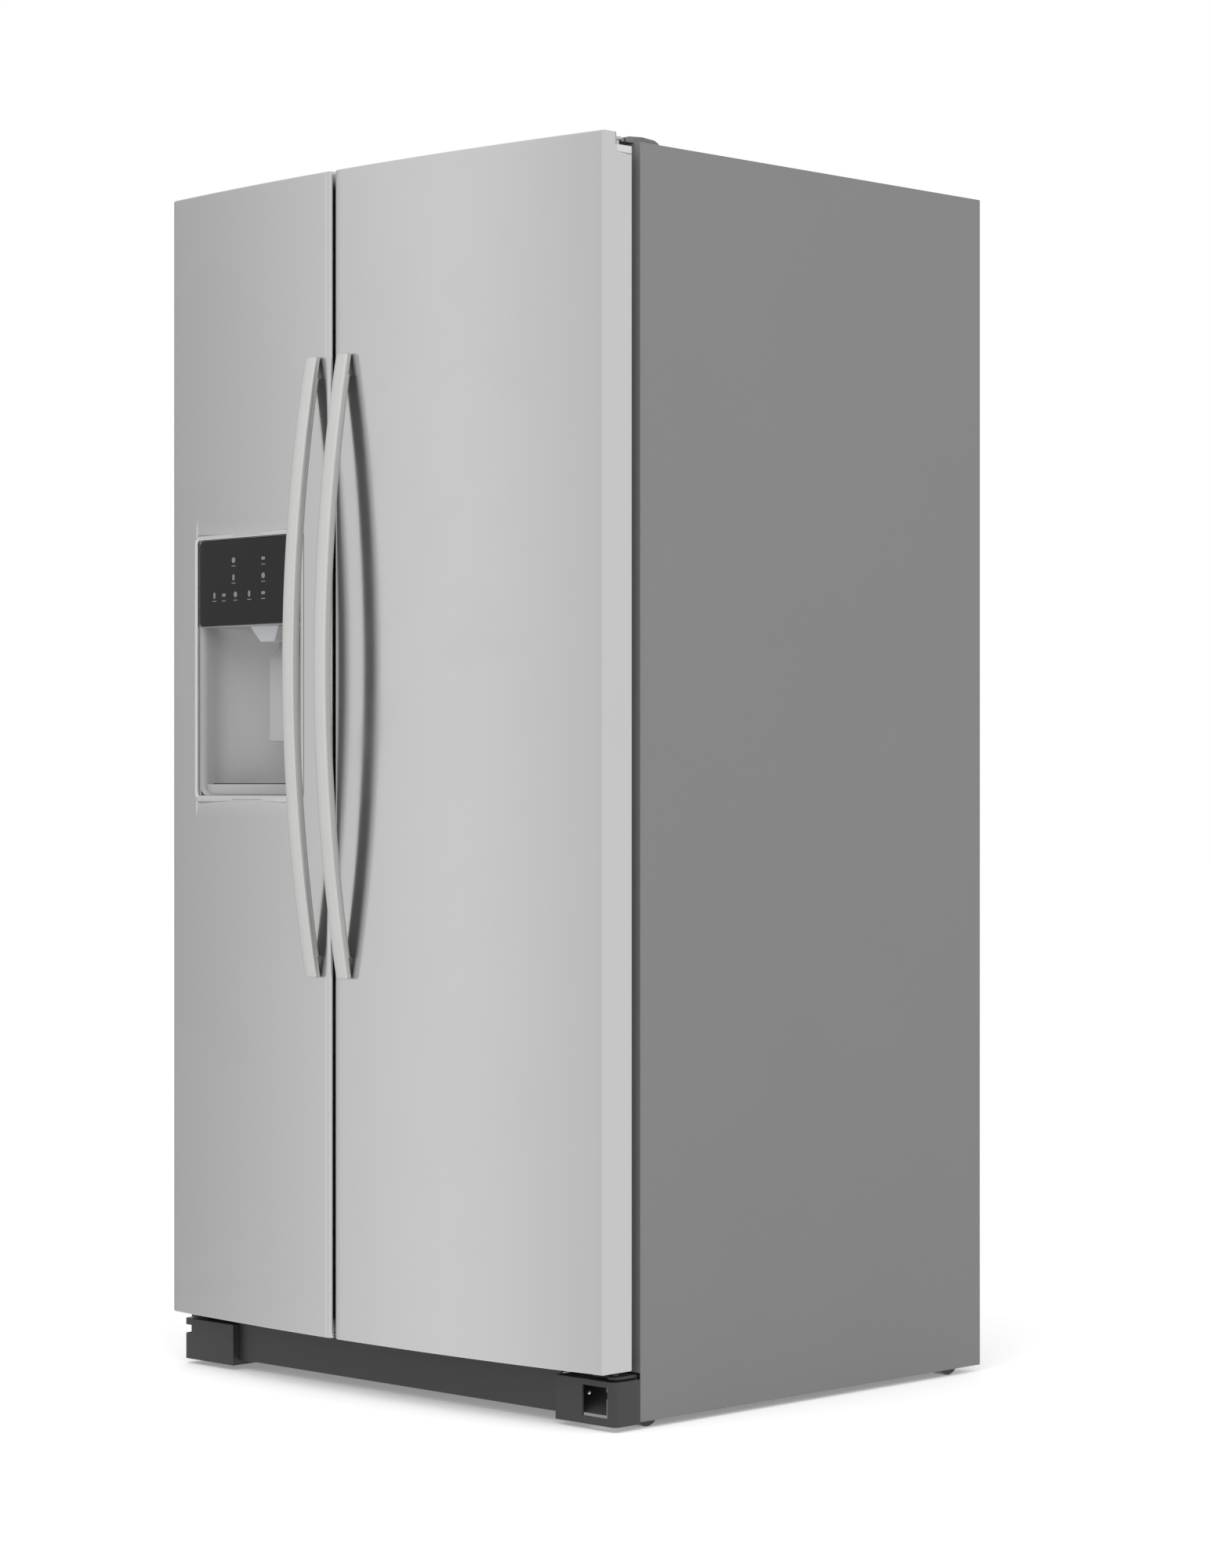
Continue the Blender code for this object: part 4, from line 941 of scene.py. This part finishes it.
class REFRIGERATOR_OT_machinery(RefrigeratorPiece, bpy.types.Operator):
    """Make the compressor and the fans"""

    bl_idname = "refrigerator.machinery"
    bl_label = "Machinery"

    def make(self):
        finished_copy("compressor", CABINET, "dark_plastic", 0.002, 2)
        for node in ("condenser_fan", "evaporator_fan"):
            finished_copy(node, node, "dark_plastic", 0.0006, 1)


class REFRIGERATOR_OT_stage(RefrigeratorPiece, bpy.types.Operator):
    """Make the floor, the lights, the surroundings and the camera"""

    bl_idname = "refrigerator.stage"
    bl_label = "Stage"

    def make(self):
        floor()
        surroundings()
        lights()
        camera()


# ---------------------------------------------------------------- stage

def floor():
    """A wide pale floor that glows a little to the camera, so that it fades into the white."""
    grid = np.zeros((2, 2, 3))
    grid[..., X], grid[..., Y] = np.meshgrid([-30, 30], [-30, 30])
    piece = surface("floor", grid)
    if piece.data.polygons[0].normal.z < 0:
        piece.data.flip_normals()
    material = bpy.data.materials.new("pale_floor")
    material.use_nodes = True
    shader = material.node_tree.nodes["Principled BSDF"]
    tree = material.node_tree
    shader.inputs["Base Color"].default_value = (0.93, 0.93, 0.93, 1)
    rays = add(tree, "ShaderNodeLightPath").outputs
    tree.links.new(mixed(tree, rays["Is Camera Ray"], (0, 0, 0, 1), (0.24, 0.24, 0.24, 1)),
                   shader.inputs["Emission Color"])
    shader.inputs["Emission Strength"].default_value = 1.0
    shader.inputs["Roughness"].default_value = 0.9
    shader.inputs["Specular IOR Level"].default_value = 0.1
    piece.data.materials.append(material)
    piece.visible_glossy = False


def surroundings():
    """White to the camera. For light and reflections, white with a soft darker side towards -X."""
    world = bpy.data.worlds.new("studio")
    bpy.context.scene.world = world
    world.use_nodes = True
    tree = world.node_tree
    tree.nodes.clear()
    where = add(tree, "ShaderNodeTexCoord")
    parts = add(tree, "ShaderNodeSeparateXYZ", {0: where.outputs["Generated"]})
    ramp = add(tree, "ShaderNodeValToRGB", {0: add(tree, "ShaderNodeMapRange", {
        "Value": parts.outputs["X"], "From Min": -1.0, "From Max": 1.0}).outputs[0]})
    stops = ((0.0, 0.50), (0.053, 0.60), (0.080, 0.71), (0.115, 0.85), (0.142, 0.94), (0.1725, 1.0),
             (0.212, 0.90), (0.24, 0.80), (0.32, 0.80), (0.50, 0.92), (1.0, 0.95))
    elements = ramp.color_ramp.elements
    ramp.color_ramp.interpolation = "LINEAR"
    while len(elements) < len(stops):
        elements.new(0.5)
    for element, (place, value) in zip(elements, stops):
        element.position = place
        element.color = (value, value, value, 1)
    rays = add(tree, "ShaderNodeLightPath")
    seen = mixed(tree, rays.outputs["Is Camera Ray"], ramp.outputs[0], (1, 1, 1, 1))
    glow = add(tree, "ShaderNodeBackground", {"Color": seen, "Strength": 1.0})
    add(tree, "ShaderNodeOutputWorld", {"Surface": glow.outputs[0]})


def lights():
    """Two large soft lights: one above in front, one above on the right."""
    for name, place, aim, size, power in (("key", (0.6, -2.6, 4.2), (0, 0, 0.6), 3.0, 45.0),
                                          ("side", (3.4, -1.8, 3.0), (0, 0, 0.6), 3.0, 30.0)):
        light = bpy.data.lights.new(name, "AREA")
        light.shape = "SQUARE"
        light.size = size
        light.energy = power
        lamp = bpy.data.objects.new(name, light)
        lamp.location = place
        direction = np.array(aim) - np.array(place)
        lamp.rotation_euler = (math.acos(-direction[2] / np.linalg.norm(direction)), 0,
                               math.atan2(direction[1], direction[0]) - math.pi / 2)
        lamp.visible_glossy = False
        bpy.context.collection.objects.link(lamp)


def camera():
    """A camera level with the middle of the cabinet, in front of it and to the right."""
    data = bpy.data.cameras.new("camera")
    data.lens = sizes().lens
    data.sensor_width = 36
    view = bpy.data.objects.new("camera", data)
    view.location = (4.0705, -4.0336, 0.874)
    view.rotation_euler = (math.radians(90), 0, math.radians(44.5))
    bpy.context.collection.objects.link(view)
    bpy.context.scene.camera = view
    bpy.context.scene.view_settings.view_transform = "Standard"


# ---------------------------------------------------------------- panel

PIECES = (REFRIGERATOR_OT_finishes, REFRIGERATOR_OT_doors, REFRIGERATOR_OT_handles, REFRIGERATOR_OT_dispenser,
          REFRIGERATOR_OT_cabinet, REFRIGERATOR_OT_base, REFRIGERATOR_OT_inside, REFRIGERATOR_OT_machinery,
          REFRIGERATOR_OT_stage)


class REFRIGERATOR_PT_panel(bpy.types.Panel):
    """Sizes, colours and pieces of the refrigerator"""

    bl_idname = "REFRIGERATOR_PT_panel"
    bl_label = "Refrigerator"
    bl_space_type = "VIEW_3D"
    bl_region_type = "UI"
    bl_category = "Refrigerator"

    def draw(self, context):
        column = self.layout.column()
        for settings in (context.scene.refrigerator_sizes, context.scene.refrigerator_colours):
            for name in type(settings).__annotations__:
                column.prop(settings, name)
        for piece in PIECES:
            column.operator(piece.bl_idname)


CLASSES = (RefrigeratorSizes, RefrigeratorColours, *PIECES, REFRIGERATOR_PT_panel)


def register():
    """Make the settings, operators and panel known."""
    for made in CLASSES:
        bpy.utils.register_class(made)
    bpy.types.Scene.refrigerator_sizes = bpy.props.PointerProperty(type=RefrigeratorSizes)
    bpy.types.Scene.refrigerator_colours = bpy.props.PointerProperty(type=RefrigeratorColours)


def unregister():
    """Take the settings, operators and panel away again."""
    del bpy.types.Scene.refrigerator_colours
    del bpy.types.Scene.refrigerator_sizes
    for made in reversed(CLASSES):
        bpy.utils.unregister_class(made)


def main():
    """Run every operator."""
    register()
    for piece in PIECES:
        family, name = piece.bl_idname.split(".")
        getattr(getattr(bpy.ops, family), name)()


if __name__ == "__main__":
    main()
